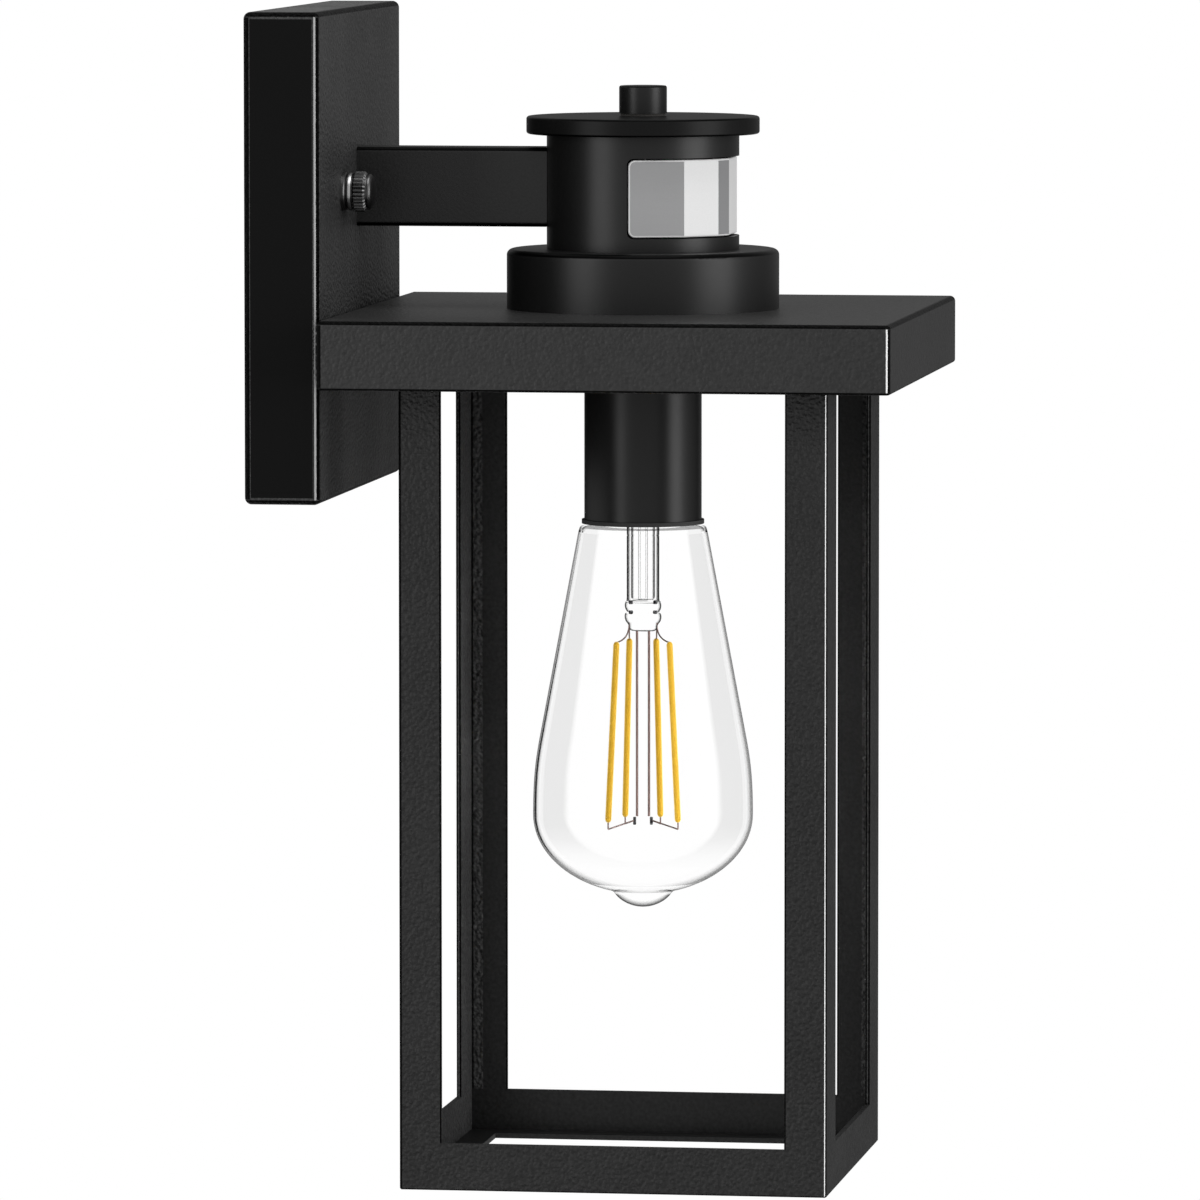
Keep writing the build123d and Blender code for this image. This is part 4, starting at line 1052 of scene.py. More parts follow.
# In each glass, the pale band is painted reflection and the dark rim painted shade.
CLEAR_GLASS = GlassFinish("clear_glass", band=0.82, rim=0.15)
INNER_SKIN = GlassFinish("inner_skin")
SHOULDER_SKIN = GlassFinish("shoulder_skin", rim=0.16, rim_top=0.52, index=1.0)
NUB_SKIN = GlassFinish("nub_skin", rim=0.05, rim_from=0.45, rim_to=0.74)
BOWL_SKIN = GlassFinish("bowl_skin", rim=0.15, rim_from=0.79, rim_to=0.90)
STEM_GLASS = GlassFinish("stem_glass", rim=0.02, rim_from=0.32, rim_to=0.55)
TUBE_GLASS = GlassFinish("tube_glass", rim=0.4, rim_from=0.3, rim_to=0.6)
FINISHES: dict[str, Finish] = {finish.name: finish for finish in (
    POWDER_COAT,
    SATIN_BLACK,
    NUT_BLACK,
    MetalFinish("zinc_steel", (0.62, 0.62, 0.60), 0.35),
    CoatFinish("ground_green", (0.03, 0.22, 0.07), 0.4, grain=0.4 * MM),
    CoatFinish("washer_fibre", (0.03, 0.028, 0.026), 0.8, grain=0.3 * MM),
    LensFinish("lens_plastic", (0.26, 0.26, 0.265), grey(0.84), ridge=0.8 * MM),
    CoatFinish("circuit_board", (0.02, 0.14, 0.05), 0.4, grain=1.2 * MM, contrast=0.4),
    MetalFinish("sensor_can", (0.75, 0.73, 0.68), 0.28),
    CoatFinish("relay_plastic", (0.02, 0.06, 0.22), 0.45, grain=0.5 * MM),
    CoatFinish("capacitor_sleeve", (0.03, 0.03, 0.05), 0.35, grain=0.4 * MM),
    CoatFinish("holder_ceramic", (0.70, 0.67, 0.61), 0.3, grain=0.9 * MM, contrast=0.06),
    MetalFinish("shell_aluminium", grey(0.72), 0.3),
    MetalFinish("contact_brass", (0.72, 0.52, 0.22), 0.3),
    CoatFinish("seal_rubber", grey(0.02), 0.75, grain=0.4 * MM),
    CLEAR_GLASS,
    FilamentFinish(
        "filament_amber", (0.42, 0.23, 0.013), (0.52, 0.315, 0.027), (0.95, 0.82, 0.4),
        dimple=0.6 * MM, painted_glow=0.18,
    ),
    MetalFinish("lead_wire", (0.18, 0.125, 0.115), 0.35),
    MetalFinish("base_brass", (0.66, 0.60, 0.48), 0.25),
    CoatFinish("insulator_black", (0.012, 0.012, 0.014), 0.2, grain=0.6 * MM),
    MetalFinish("tip_solder", (0.55, 0.54, 0.52), 0.4),
)}


@cache
def material_of(finish: Finish) -> Material:
    """A finish's material, made the first time that it is asked for."""
    return finish.make()


def dress_faces(piece: Object, finishes: Sequence[Finish], pick: Callable[[Face], Finish]) -> None:
    """Gives a piece several finishes and picks one for each face.

    Args:
        piece: The piece, undressed or a copy of one that wears the same finishes.
        finishes: The finishes.
        pick: Takes a face and gives one of them.
    """
    for finish in finishes:
        piece.data.materials.append(material_of(finish))
    for face in piece.data.polygons:
        face.material_index = finishes.index(pick(face))


def hand_over(piece: Object, body: str, slot: str, *nodes: str) -> None:
    """Dresses a finished piece and gives it to the frame.

    Args:
        piece: The piece.
        body: The body that it moves with.
        slot: The record's slot whose finish it wears.
        nodes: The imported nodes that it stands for.
    """
    if not piece.data.materials:
        piece.data.materials.append(material_of(FINISHES[slot]))
    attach(piece, body)
    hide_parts(*nodes)
    LOG.info("%s: %d faces on %s", piece.name, len(piece.data.polygons), body)


def lantern_axis() -> Vector:
    """The point at stud height on the upright line through the lantern."""
    low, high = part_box("centre_rod")
    return Vector(((low.x + high.x) / 2, (low.y + high.y) / 2, 0.0))


@dataclass
class WallMount:
    """The pan on the wall with its studs, its knurled cap nuts and the arm's screws."""

    wall: float = 1.2 * MM
    edge: float = 2.0 * MM
    stud_hole: float = 2.2 * MM
    wire_hole: float = 3.0 * MM
    screw_hole: float = 1.7 * MM
    screw_rise: float = 2.2 * MM
    screw_shank: float = 1.5 * MM
    stud_pitch: float = 0.7 * MM
    stud_groove: float = 0.4 * MM
    stud_rings: int = 5
    nut_bore: float = 2.05 * MM
    nut_neck: float = 4.8 * MM
    nut_flange: float = 5.5 * MM
    nut_rim: float = 1.6 * MM
    nut_shelf: float = 2.0 * MM
    nut_grip: float = 5.8 * MM
    nut_end: float = 2.4 * MM
    nut_chamfer: float = 0.55 * MM
    groove_depth: float = 1.0 * MM
    groove_lip: float = 0.3 * MM
    groove_rises: Point = (0.35 * MM, 0.6 * MM, 0.9 * MM)
    nut_ridges: int = 30
    ridge_flats: int = 3
    ridge_depth: float = 0.4 * MM

    def build(self) -> None:
        """Builds the pan, the studs, the nuts and the screws."""
        self.plate()
        self.studs()
        self.nuts()
        self.arm_screws()

    def plate(self) -> None:
        """The pan: a rounded block, opened at the back and given its wall."""
        low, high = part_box("wall_plate")
        plate = block("pan_of_wall_plate", low, high)
        with editing(plate):
            bevel(self.edge, segments=10)
            choose(Element.FACE, lambda face: face.normal.y > SQUARE_ON)
            bpy.ops.mesh.delete(type="FACE")
            close_up()
        shape_with(plate, "SOLIDIFY", thickness=self.wall, offset=-1.0)
        for place, radius in self.holes():
            drill(plate, place, radius, 4 * self.wall, Facing.FRONT, sides=32)
        round_off(plate)

        def coat_of(face: Face) -> Finish:
            """A face's coat: painted shade on both sides and painted light on top."""
            if lies_at(face, 0, low.x) or lies_at(face, 0, high.x):
                return PLATE_SHADED_SIDE
            return PLATE_LIT_TOP if lies_at(face, 2, high.z) else PLATE_COAT

        dress_faces(plate, (PLATE_COAT, PLATE_SHADED_SIDE, PLATE_LIT_TOP), coat_of)
        hand_over(plate, "fixture", "powder_coat", "wall_plate")

    def holes(self) -> list[tuple[Vector, float]]:
        """Finds the holes through the pan's front.

        Returns:
            The middle and the radius of each hole.
        """
        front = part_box("wall_plate")[0].y + self.wall / 2
        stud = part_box("mounting_studs")[1].x - self.stud_radius()
        arm = sum(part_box("arm_tube"), Vector()) / 2
        low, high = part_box("arm_screws")
        reach = (high.z - low.z) / 2 - (high.x - low.x) / 2
        spots = [(side * stud, 0.0, self.stud_hole) for side in (-1, 1)]
        spots += [(0.0, arm.z, self.wire_hole)]
        spots += [(0.0, arm.z + side * reach, self.screw_hole) for side in (1, -1)]
        return [(Vector((across, front, height)), radius) for across, height, radius in spots]

    def stud_radius(self) -> float:
        """Half of a stud's thickness."""
        low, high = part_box("mounting_studs")
        return (high.z - low.z) / 2

    def studs(self) -> None:
        """Two threaded studs, one turned and one copied."""
        low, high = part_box("mounting_studs")
        radius, pitch = self.stud_radius(), self.stud_pitch
        length = high.y - low.y
        side = [(radius, height) for height in steps(0.0, length, round(length / pitch * self.stud_rings))]
        near = turned("stud_near", [(0.0, 0.0), *side, (0.0, length)], flats=24)
        roll_thread(near, pitch, self.stud_groove, -pitch, length + pitch)
        settle(near, (low.x + radius, 0.0, 0.0), Facing.FRONT)
        far = mirrored_copy(near, "stud_far", Vector(), FLIP_X)
        both = joined([near, far], "threaded_studs")
        round_off(both, degrees=50.0)
        hand_over(both, "fixture", "zinc_steel", "mounting_studs")

    def nut_outline(self, length: float) -> Outline:
        """Half of a nut's section: bore, flange, neck, grip, groove and domed end.

        Args:
            length: The nut's length.

        Returns:
            The outline, from the end of the bore to the tip of the dome.
        """
        rim, shelf, edge = self.nut_rim, self.nut_shelf, self.nut_chamfer
        flange, waist, grip = self.nut_flange, self.nut_neck, self.nut_grip
        grip_end = length - self.nut_end
        groove = grip - self.groove_depth
        dome = groove + self.groove_lip
        groove_top, lip_top, dome_base = (grip_end + rise for rise in self.groove_rises)
        return [
            (0.0, grip_end), (self.nut_bore, grip_end), (self.nut_bore, 0.0), (waist, 0.0),
            (flange, 0.5 * rim), (flange, 0.8 * rim), (flange - 0.2 * edge, rim), (waist, rim),
            (waist, shelf), (grip - edge, shelf), (grip, shelf + edge), (grip, grip_end - edge),
            (grip - edge, grip_end), (groove, grip_end), (groove, groove_top), (dome, lip_top),
            (dome, dome_base), *quarter(dome, dome_base, length - dome_base, end=0.0, count=10),
        ]

    def nuts(self) -> None:
        """Two cap nuts with a flange brightened partly as a polished face and partly as a painted highlight,
        a straight knurl, a groove and a domed end.
        """
        low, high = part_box("cap_nut_left")
        length = high.y - low.y
        flats = self.ridge_flats * self.nut_ridges
        nut = turned("knurled_nut_left", self.nut_outline(length), flats)
        with editing(nut):
            choose(
                Element.VERTEX,
                lambda vertex: vertex.co.xy.length > self.nut_grip - self.nut_chamfer - TOUCH
                and self.nut_shelf - TOUCH < vertex.co.z < length - self.nut_end + TOUCH
                and round(math.atan2(vertex.co.y, vertex.co.x) * flats / math.tau) % self.ridge_flats == 0,
            )
            shrink = 1.0 - self.ridge_depth / self.nut_grip
            bpy.ops.transform.resize(value=(shrink, shrink, 1.0), center_override=(0, 0, 0))
        settle(nut, ((low.x + high.x) / 2, high.y, 0.0), Facing.FRONT)
        twin = mirrored_copy(nut, "knurled_nut_right", Vector(), FLIP_X)
        for piece, side in ((nut, "left"), (twin, "right")):
            round_off(piece, degrees=28.0)
            dress_faces(
                piece, (NUT_BLACK, NUT_FLANGE),
                lambda face: NUT_FLANGE if high.y - face.center.y < self.nut_rim else NUT_BLACK,
            )
            hand_over(piece, f"nut_{side}", "nut_black", f"cap_nut_{side}")

    def arm_screws(self) -> None:
        """The two screws that hold the arm, seen from behind."""
        low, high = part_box("arm_screws")
        head = (high.x - low.x) / 2
        seat = high.y - self.screw_rise
        kind = PanScrew(head, self.screw_rise, self.screw_shank)
        screw = kind.build("arm_screw_low", seat - low.y)
        settle(screw, (0.0, seat, low.z + head), Facing.BACK)
        twin = copied(screw, "arm_screw_high")
        settle(twin, (0.0, 0.0, high.z - low.z - 2 * head))
        both = joined([screw, twin], "arm_pan_screws")
        round_off(both)
        hand_over(both, "fixture", "zinc_steel", "arm_screws")


@dataclass
class RoofCap:
    """The square tray over the frame, open below, with four screw bosses under it."""

    wall: float = 1.2 * MM
    edge: float = 1.6 * MM
    lip: float = 1.0 * MM
    rod_hole: float = 5.2 * MM
    boss: float = 4.0 * MM
    boss_hole: float = 2.1 * MM
    boss_height: float = 6.0 * MM

    def build(self) -> None:
        """Builds the tray from a rounded block, then its hole and bosses."""
        low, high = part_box("roof_cap")
        axis = lantern_axis()
        cap = block("tray_of_roof_cap", low, high)
        with editing(cap):
            choose(Element.FACE, lambda face: face.normal.z < -SQUARE_ON)
            bpy.ops.mesh.delete(type="ONLY_FACE")
            choose(Element.EDGE, lambda edge: len(edge.link_faces) == 2)
            bevel(self.edge, segments=10)
            close_up()
        shape_with(cap, "SOLIDIFY", thickness=self.wall, offset=-1.0)
        with editing(cap):
            choose(
                Element.EDGE,
                lambda edge: all(abs(end.co.z - low.z) < TOUCH for end in edge.verts)
                and any(
                    abs(face.normal.z) < UPRIGHT
                    and face.normal.xy.dot(face.calc_center_median().xy - axis.xy) > 0.0
                    for face in edge.link_faces
                ),
            )
            bevel(self.lip, segments=6)
        drill(cap, (axis.x, axis.y, high.z), self.rod_hole, 4 * self.wall, Facing.UP, sides=48)
        combine(cap, self.bosses(high.z - self.wall), "UNION")
        round_off(cap)
        # Painted light: the cap's top takes the lighter copy.
        dress_faces(
            cap, (POWDER_COAT, CAP_LIT_TOP),
            lambda face: CAP_LIT_TOP if lies_at(face, 2, high.z) else POWDER_COAT,
        )
        hand_over(cap, "fixture", "powder_coat", "roof_cap")

    def bosses(self, ceiling: float) -> Object:
        """Four drilled bosses under the tray, one for each frame screw.

        Args:
            ceiling: The height of the tray's underside.

        Returns:
            The bosses as one object, a little way up in the tray's wall.
        """
        axis = lantern_axis()
        top, bottom = ceiling + self.wall / 2, ceiling - self.boss_height
        outline = [(self.boss_hole, top), (self.boss_hole, bottom), (self.boss, bottom), (self.boss, top)]
        first = turned("boss_1", [*outline, outline[0]], flats=32)
        settle(first, (axis.x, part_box("frame_screws")[0].y + AngleFrame.screw_head, 0.0))
        return joined_round(first, "bosses", axis, QUARTER_TURNS)


@dataclass
class AngleFrame:
    """The open frame: two rings of mitred angle rails, four angle posts and their screws."""

    sheet: float = 1.5 * MM
    corner: float = 0.9 * MM
    edge: float = 0.6 * MM
    fold: float = 0.6 * MM
    top_flange: float = 12.0 * MM
    bottom_flange: float = 10.0 * MM
    # How far painted light reaches along inner faces from the front and back.
    lit_band: float = 3.4 * MM
    screw_head: float = 3.5 * MM
    screw_rise: float = 2.4 * MM
    screw_shank: float = 2.0 * MM
    axis: Vector = field(init=False)
    half: float = field(init=False)

    def build(self) -> None:
        """Builds the rails, the posts and the screws."""
        low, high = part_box("bottom_rail_front")
        self.axis = lantern_axis()
        self.half = (high.x - low.x) / 2
        self.rails("bottom", low.z, high.z - low.z, self.bottom_flange)
        low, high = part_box("top_rail_front")
        self.rails("top", high.z, low.z - high.z, self.top_flange)
        self.posts()
        self.screws()

    def out(self, point: Vector) -> float:
        """How far a point lies from the axis, measured square to the panels."""
        return max(abs(point.x - self.axis.x), abs(point.y - self.axis.y))

    def on_corner(self, edge: bmesh.types.BMEdge) -> bool:
        """Whether an edge stands upright on an outer corner of the frame.

        Args:
            edge: An edge of a bar before it is cut to length.

        Returns:
            True on the four outer corners.
        """
        return is_upright(edge) and all(
            abs(abs(end.co.x - self.axis.x) - self.half) < TOUCH
            and abs(abs(end.co.y - self.axis.y) - self.half) < TOUCH
            for end in edge.verts
        )

    def coat_of(self, face: Face) -> Finish:
        """A face's coat: painted light on inner faces near the front and back and on back faces that face
        the front, painted shade on the other inner faces and ledges, and a painted highlight on the outer
        corners.

        Args:
            face: A face of a finished rail or post.

        Returns:
            Its finish.
        """
        out = face.center - self.axis
        deep_in = abs(out.y) < self.half - self.sheet - self.lit_band
        turned_in = face.normal.x * out.x < -TOUCH
        if turned_in and not deep_in or min(out.y, -face.normal.y) > TOUCH:
            return FRAME_LIT_FOLD
        ledge = abs(face.normal.z) > LEVEL and self.out(face.center) < self.half - self.sheet
        if turned_in or ledge:
            return FRAME_SHADED_INSIDE
        return FRAME_HIGHLIT_CORNER if min(abs(out.x), abs(out.y)) > self.half - self.corner else FRAME_COAT

    def finish(self, bar: Object, node: str) -> None:
        """Smooths a rail or post, dresses it and hands it over.

        Args:
            bar: The rail or post.
            node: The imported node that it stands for.
        """
        round_off(bar)
        dress_faces(bar, (FRAME_COAT, FRAME_SHADED_INSIDE, FRAME_HIGHLIT_CORNER, FRAME_LIT_FOLD), self.coat_of)
        hand_over(bar, "fixture", "powder_coat", node)

    def square(self, name: str, height: float) -> Object:
        """A flat square as wide as the frame.

        Args:
            name: The piece's name.
            height: The height at which it lies.

        Returns:
            The square.
        """
        take()
        middle = (self.axis.x, self.axis.y, height)
        bpy.ops.mesh.primitive_plane_add(size=2 * self.half, location=middle)
        return added(name)

    def rails(self, level: str, base: float, rise: float, flange: float) -> None:
        """A ring of angle, cut into four rails along its mitres.

        Args:
            level: Whether the ring is at the top or at the bottom.
            base: The height of the outer face of its flange.
            rise: How far its upright leg goes from there, less than nothing for downwards.
            flange: How far the flange goes inwards.
        """
        sheet = math.copysign(self.sheet, rise)
        ring = self.square(f"{level}_rail_bar_front", base)
        with editing(ring):
            bpy.ops.mesh.inset(thickness=self.sheet)
            bpy.ops.mesh.inset(thickness=flange - self.sheet)
            bpy.ops.mesh.delete(type="FACE")
            bpy.ops.mesh.select_all(action="SELECT")
            stretch((0.0, 0.0, sheet))
            choose(
                Element.FACE,
                lambda face: abs(face.calc_center_median().z - base - sheet) < TOUCH
                and self.out(face.calc_center_median()) > self.half - self.sheet,
            )
            stretch((0.0, 0.0, rise - sheet))
            close_up()
            choose(Element.EDGE, self.on_corner)
            bevel(self.corner, segments=8)
            choose(
                Element.EDGE,
                lambda edge: all(
                    abs(end.co.z - base) < TOUCH and self.out(end.co) > self.half - 0.3 * self.corner
                    for end in edge.verts
                ),
            )
            bevel(self.edge, segments=5)
            for side in (-1.0, 1.0):
                slice_at(tuple(self.axis), (side, 1.0, 0.0))
            close_up()
        self.finish(ring, f"{level}_rail_front")
        for side, angle in zip(("right", "back", "left"), QUARTER_TURNS):
            bar = turned_copy(ring, f"{level}_rail_bar_{side}", self.axis, angle)
            self.finish(bar, f"{level}_rail_{side}")

    def posts(self) -> None:
        """One post cut from an upright square tube, and its three mirror copies."""
        low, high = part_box("corner_post_front_left")
        post = self.square("corner_post_bar_front_left", low.z)
        inner = self.half - self.sheet
        with editing(post):
            bpy.ops.mesh.inset(thickness=self.sheet)
            bpy.ops.mesh.delete(type="FACE")
            bpy.ops.mesh.select_all(action="SELECT")
            stretch((0.0, 0.0, high.z - low.z))
            close_up()
            choose(Element.EDGE, self.on_corner)
            bevel(self.corner, segments=8)
            choose(
                Element.EDGE,
                lambda edge: is_upright(edge)
                and all(abs(self.out(end.co) - inner) < TOUCH for end in edge.verts),
            )
            bevel(self.fold, segments=3)
            slice_at((high.x, 0.0, 0.0), (1.0, 0.0, 0.0))
            slice_at((0.0, high.y, 0.0), (0.0, 1.0, 0.0))
            choose(
                Element.EDGE,
                lambda edge: is_upright(edge)
                and all(
                    abs(end.co.x - high.x) < TOUCH or abs(end.co.y - high.y) < TOUCH
                    for end in edge.verts
                ),
            )
            bevel(self.edge, segments=5)
            # Cuts the post where the painted light on its inner faces ends.
            slice_at((0.0, low.y + self.sheet + self.lit_band, 0.0), (0.0, 1.0, 0.0), drop=False)
            close_up()
        bars = {"front_left": post}
        for place, flip in (("front_right", FLIP_X), ("back_left", FLIP_Y), ("back_right", FLIP_BOTH)):
            bars[place] = mirrored_copy(post, f"corner_post_bar_{place}", self.axis, flip)
        for place, bar in bars.items():
            self.finish(bar, f"corner_post_{place}")

    def screws(self) -> None:
        """Four pan-head screws that hold the frame under the cap."""
        low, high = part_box("frame_screws")
        seat = low.z + self.screw_rise
        kind = PanScrew(self.screw_head, self.screw_rise, self.screw_shank)
        first = kind.build("frame_screw_1", high.z - seat)
        settle(first, (self.axis.x, low.y + self.screw_head, seat), Facing.DOWN)
        screws = joined_round(first, "frame_pan_screws", self.axis, QUARTER_TURNS)
        round_off(screws)
        hand_over(screws, "fixture", "zinc_steel", "frame_screws")


@dataclass
class SensorLens:
    """The lens strip: flat facets round the front of the housing, set in a dark gap."""

    TONE = "painted_facet_light"

    radius: float = 27.65 * MM
    edges: tuple[float, ...] = (18.0, 30.0, 56.5, 91.5)
    # Painted light and shade of each facet from the front outwards, and a painted highlight on the rim.
    facet_light: tuple[float, ...] = (1.0, 0.0, 0.87, 0.13)
    rim_highlight: float = 1.0
    facet_play: float = 2.0
    sill: float = -13.3 * MM
    head: float = 9.8 * MM
    gap: float = 0.4 * MM
    corner: float = 2.0 * MM
    wall: float = 1.4 * MM
    rim: float = 0.5 * MM
    rim_turn: float = math.radians(50.0)

    def corner_point(self, degrees: float) -> Vector:
        """Where a facet's lower corner lies.

        Args:
            degrees: The angle round from the front.

        Returns:
            The corner.
        """
        around = math.radians(degrees)
        across = Vector((math.sin(around), -math.cos(around), 0.0)) * self.radius
        return lantern_axis() + across + Vector((0.0, 0.0, self.sill + self.gap))

    def build(self) -> None:
        """Builds the strip facet by facet, rounds it off and gives it a wall."""
        end = self.edges[-1] - math.degrees(self.gap / self.radius)
        angles = [*self.edges[:-1], end]
        angles = [-angle for angle in reversed(angles)] + angles
        corners = [self.corner_point(angle) for angle in angles]
        rise = Vector((0.0, 0.0, self.head - self.sill - 2 * self.gap))
        lens = traced("faceted_lens", [tuple(corners[0]), tuple(corners[0] + rise)])
        with editing(lens):
            for start, stop in pairwise(corners):
                stretch(tuple(stop - start))
            close_up()
            choose(Element.VERTEX, lambda vertex: len(vertex.link_faces) == 1)
            bevel(self.corner, segments=6, affect="VERTICES")
        shape_with(lens, "SOLIDIFY", thickness=self.wall, offset=-1.0, use_even_offset=True)
        shape_with(
            lens, "BEVEL", width=self.rim, segments=3, limit_method="ANGLE",
            angle_limit=self.rim_turn,
        )
        round_off(lens, degrees=15.0)
        self.paint_facet_light(lens)
        hand_over(lens, "fixture", "lens_plastic", "sensor_lens")

    def paint_facet_light(self, lens: Object) -> None:
        """Writes each face's painted light: a painted highlight on the rim, and lit or shaded by facet
        elsewhere.

        Args:
            lens: The finished strip.
        """
        starts = (-self.edges[0], *self.edges[:-1])
        middles = [(start + end) / 2 for start, end in zip(starts, self.edges)]
        tone = lens.data.attributes.new(self.TONE, "FLOAT", "FACE")
        for face, value in zip(lens.data.polygons, tone.data):
            around = math.degrees(math.atan2(abs(face.normal.x), -face.normal.y))
            away, shown = min((abs(middle - around), shown) for middle, shown in zip(middles, self.facet_light))
            value.value = shown if away < self.facet_play and abs(face.normal.z) < UPRIGHT else self.rim_highlight


@dataclass
class FilamentBulb:
    """The clear bulb: glass, stem, four light-strips, their wires and the screw base."""

    neck: float = 12.4 * MM
    root_reach: float = 2.6 * MM
    root_drop: float = 0.15 * MM
    root_slope: float = 0.06
    shoulder: float = 19.1 * MM
    shoulder_drop: float = 4.2 * MM
    shoulder_skin: float = 2.2 * MM
    slope: float = 0.188
    taper: float = 58.4 * MM
    widest: float = 32.0 * MM
    widest_drop: float = 85.0 * MM
    belly: float = 1.3
    bottom_rise: float = 23.2 * MM
    bowl: float = 18.0 * MM
    nub: float = 8.2 * MM
    nub_rise: float = 3.9 * MM
    nub_fillet: float = 1.6 * MM
    nub_step: float = 1.1 * MM
    glass_wall: float = 0.8 * MM
    stem: float = 4.75 * MM
    stem_wall: float = 1.3 * MM
    stem_gap: float = 0.1 * MM
    flare_height: float = 7.0 * MM
    flare_reach: float = 1.2 * MM
    flare_ends: Spot = (4.0 * MM, 3.0 * MM)
    pinch: float = 5.6 * MM
    pinch_height: float = 9.5 * MM
    pinch_flat: float = 0.62
    lower_bulge: Spot = (2.0 * MM, 5.6 * MM)
    upper_bulge: Spot = (5.8 * MM, 8.8 * MM)
    exhaust: float = 1.4 * MM
    strip: float = 0.95 * MM
    strip_end: float = 1.2
    strip_tip: float = 0.3
    strip_lift: float = 1.2 * MM
    strip_turns: tuple[float, ...] = (-109.6, -18.2, 35.0, 126.4)
    strip_top: float = 8.7 * MM
    strip_bottom: float = 11.5 * MM
    support: float = 1.74 * MM
    support_turn: float = math.radians(-80.0)
    support_wire: float = 0.36 * MM
    support_end: float = 1.4 * MM
    bead_out: float = 0.7 * MM
    bead_drop: float = 1.1 * MM
    bead_size: Spot = (0.45 * MM, 2.3 * MM)
    knot_ring: float = 3.5 * MM
    knot_size: Spot = (0.65 * MM, 1.1 * MM)
    knots: Spot = (4.9 * MM, 7.8 * MM)
    wire: float = 0.22 * MM
    tail: float = 1.9 * MM
    tail_grip: float = 0.6 * MM
    foot_rise: float = 0.2 * MM
    lead_ring: float = 4.0 * MM
    lead_root: float = 2.4 * MM
    lead_grip: float = 0.3 * MM
    lead_drop: float = 3.2 * MM
    lead_bow: float = 0.5 * MM
    lead_pull: float = 0.7
    base_pitch: float = 3.63 * MM
    base_groove: float = 0.9 * MM
    base_start: float = 5.0 * MM
    base_run_out: float = 0.6
    base_wall: float = 0.4 * MM
    base_crimp: float = 2.0 * MM
    base_crimp_inset: float = 1.6 * MM
    axis: Vector = field(init=False)
    seat: float = field(init=False)
    neck_top: float = field(init=False)
    strip_low: float = field(init=False)
    strip_high: float = field(init=False)
    stem_end: float = field(init=False)

    def build(self) -> None:
        """Builds the bulb's pieces from the seal at the cup's mouth downwards."""
        self.axis = lantern_axis()
        self.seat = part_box("bulb_seal")[0].z
        self.neck_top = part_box("bulb_glass")[1].z
        self.strip_low, self.strip_high = (corner.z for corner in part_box("bulb_filaments"))
        self.strip_high += self.strip_lift
        self.stem_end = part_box("bulb_stem")[0].z
        self.glass()
        self.stem_tube()
        self.strips()
        self.wires()
        self.base()

    def ring_point(self, radius: float, turn: float, height: float) -> Vector:
        """A point round the lantern's axis."""
        across = Vector((math.cos(turn), math.sin(turn), 0.0)) * radius
        return self.axis + across + Vector((0.0, 0.0, height))

    def shoulder_outline(self) -> Outline:
        """The neck in the base, the flare under the seal and the rounded shoulder.

        Returns:
            The outline, from the top of the neck to the end of the shoulder.
        """
        neck_end = (self.neck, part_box("bulb_base")[0].z)
        root = (self.neck + self.root_reach, self.seat - self.root_drop)
        shoulder = (self.shoulder, self.seat - self.shoulder_drop)
        side_above = self.slope * (root[1] - shoulder[1])
        run = (shoulder[0] - root[0] - side_above) / (1.0 - self.slope * self.root_slope)
        corner = (root[0] + run, root[1] - self.root_slope * run)
        flare = (self.neck, root[1] + self.root_slope * self.root_reach)
        return [
            (self.neck, self.neck_top), neck_end,
            *bend(neck_end, flare, flare, root, count=8),
            *bend(root, corner, corner, shoulder, count=16),
        ]

    def nub_outline(self, rim: Spot) -> Outline:
        """The hollow round the nub and the nub itself.

        Args:
            rim: Where the bowl ends.

        Returns:
            The outline, from there to the axis.
        """
        side = Vector((self.nub, rim[1] - self.nub_step))
        lean = Vector((self.nub_fillet / 3, 0.75 * self.nub_step))
        pull = Vector(rim).lerp(side + lean, 2 / 3)
        tip = (0.0, side.y - self.nub_rise)
        hollow = bend(rim, pull, side + lean * 2 / 3, side, count=8)
        return hollow + bend(side, side - 2 * lean, (self.nub / 2, tip[1]), tip, count=12)

    def glass(self) -> None:
        """The blown glass, turned as a skin and given its wall inwards."""
        shoulder = self.seat - self.shoulder_drop
        widest = self.seat - self.widest_drop
        end = (self.shoulder + self.slope * self.taper, shoulder - self.taper)
        lean = (end[1] - widest) / 3
        taper = zip(steps(self.shoulder, end[0], count=14), steps(shoulder, end[1], count=14))
        outline = self.shoulder_outline() + list(taper)[1:]
        outline += bend(
            end, (end[0] + self.slope * lean, end[1] - lean),
            (self.widest, widest + self.belly * lean), (self.widest, widest),
        )
        outline += quarter(self.widest, widest, -self.bottom_rise, self.nub + self.nub_fillet, count=24)
        outline += self.nub_outline(outline[-1])
        glass = turned("blown_glass", outline, flats=144)
        shape_with(glass, "SOLIDIFY", thickness=self.glass_wall, offset=-1.0, use_even_offset=True)
        skins = (INNER_SKIN, SHOULDER_SKIN, NUB_SKIN, BOWL_SKIN, CLEAR_GLASS)
        dress_faces(glass, skins, self.skin_of)
        self.place_glass(glass, "bulb_glass")

    def skin_of(self, face: Face) -> Finish:
        """A face's glass with its painted reflection and painted shade: clear inside, and by its height
        outside.

        Args:
            face: A face of the glass, still upright on the axis.

        Returns:
            Its finish.
        """
        radius = face.center.xy.length
        outside = face.normal.xy.dot(face.center.xy) > 0.0 or face.normal.z < -LEVEL
        if face.center.z > self.seat - self.shoulder_skin:
            return SHOULDER_SKIN
        if not outside:
            return INNER_SKIN
        if face.center.z >= self.seat - self.widest_drop or radius >= self.bowl:
            return CLEAR_GLASS
        return NUB_SKIN if radius < self.nub else BOWL_SKIN

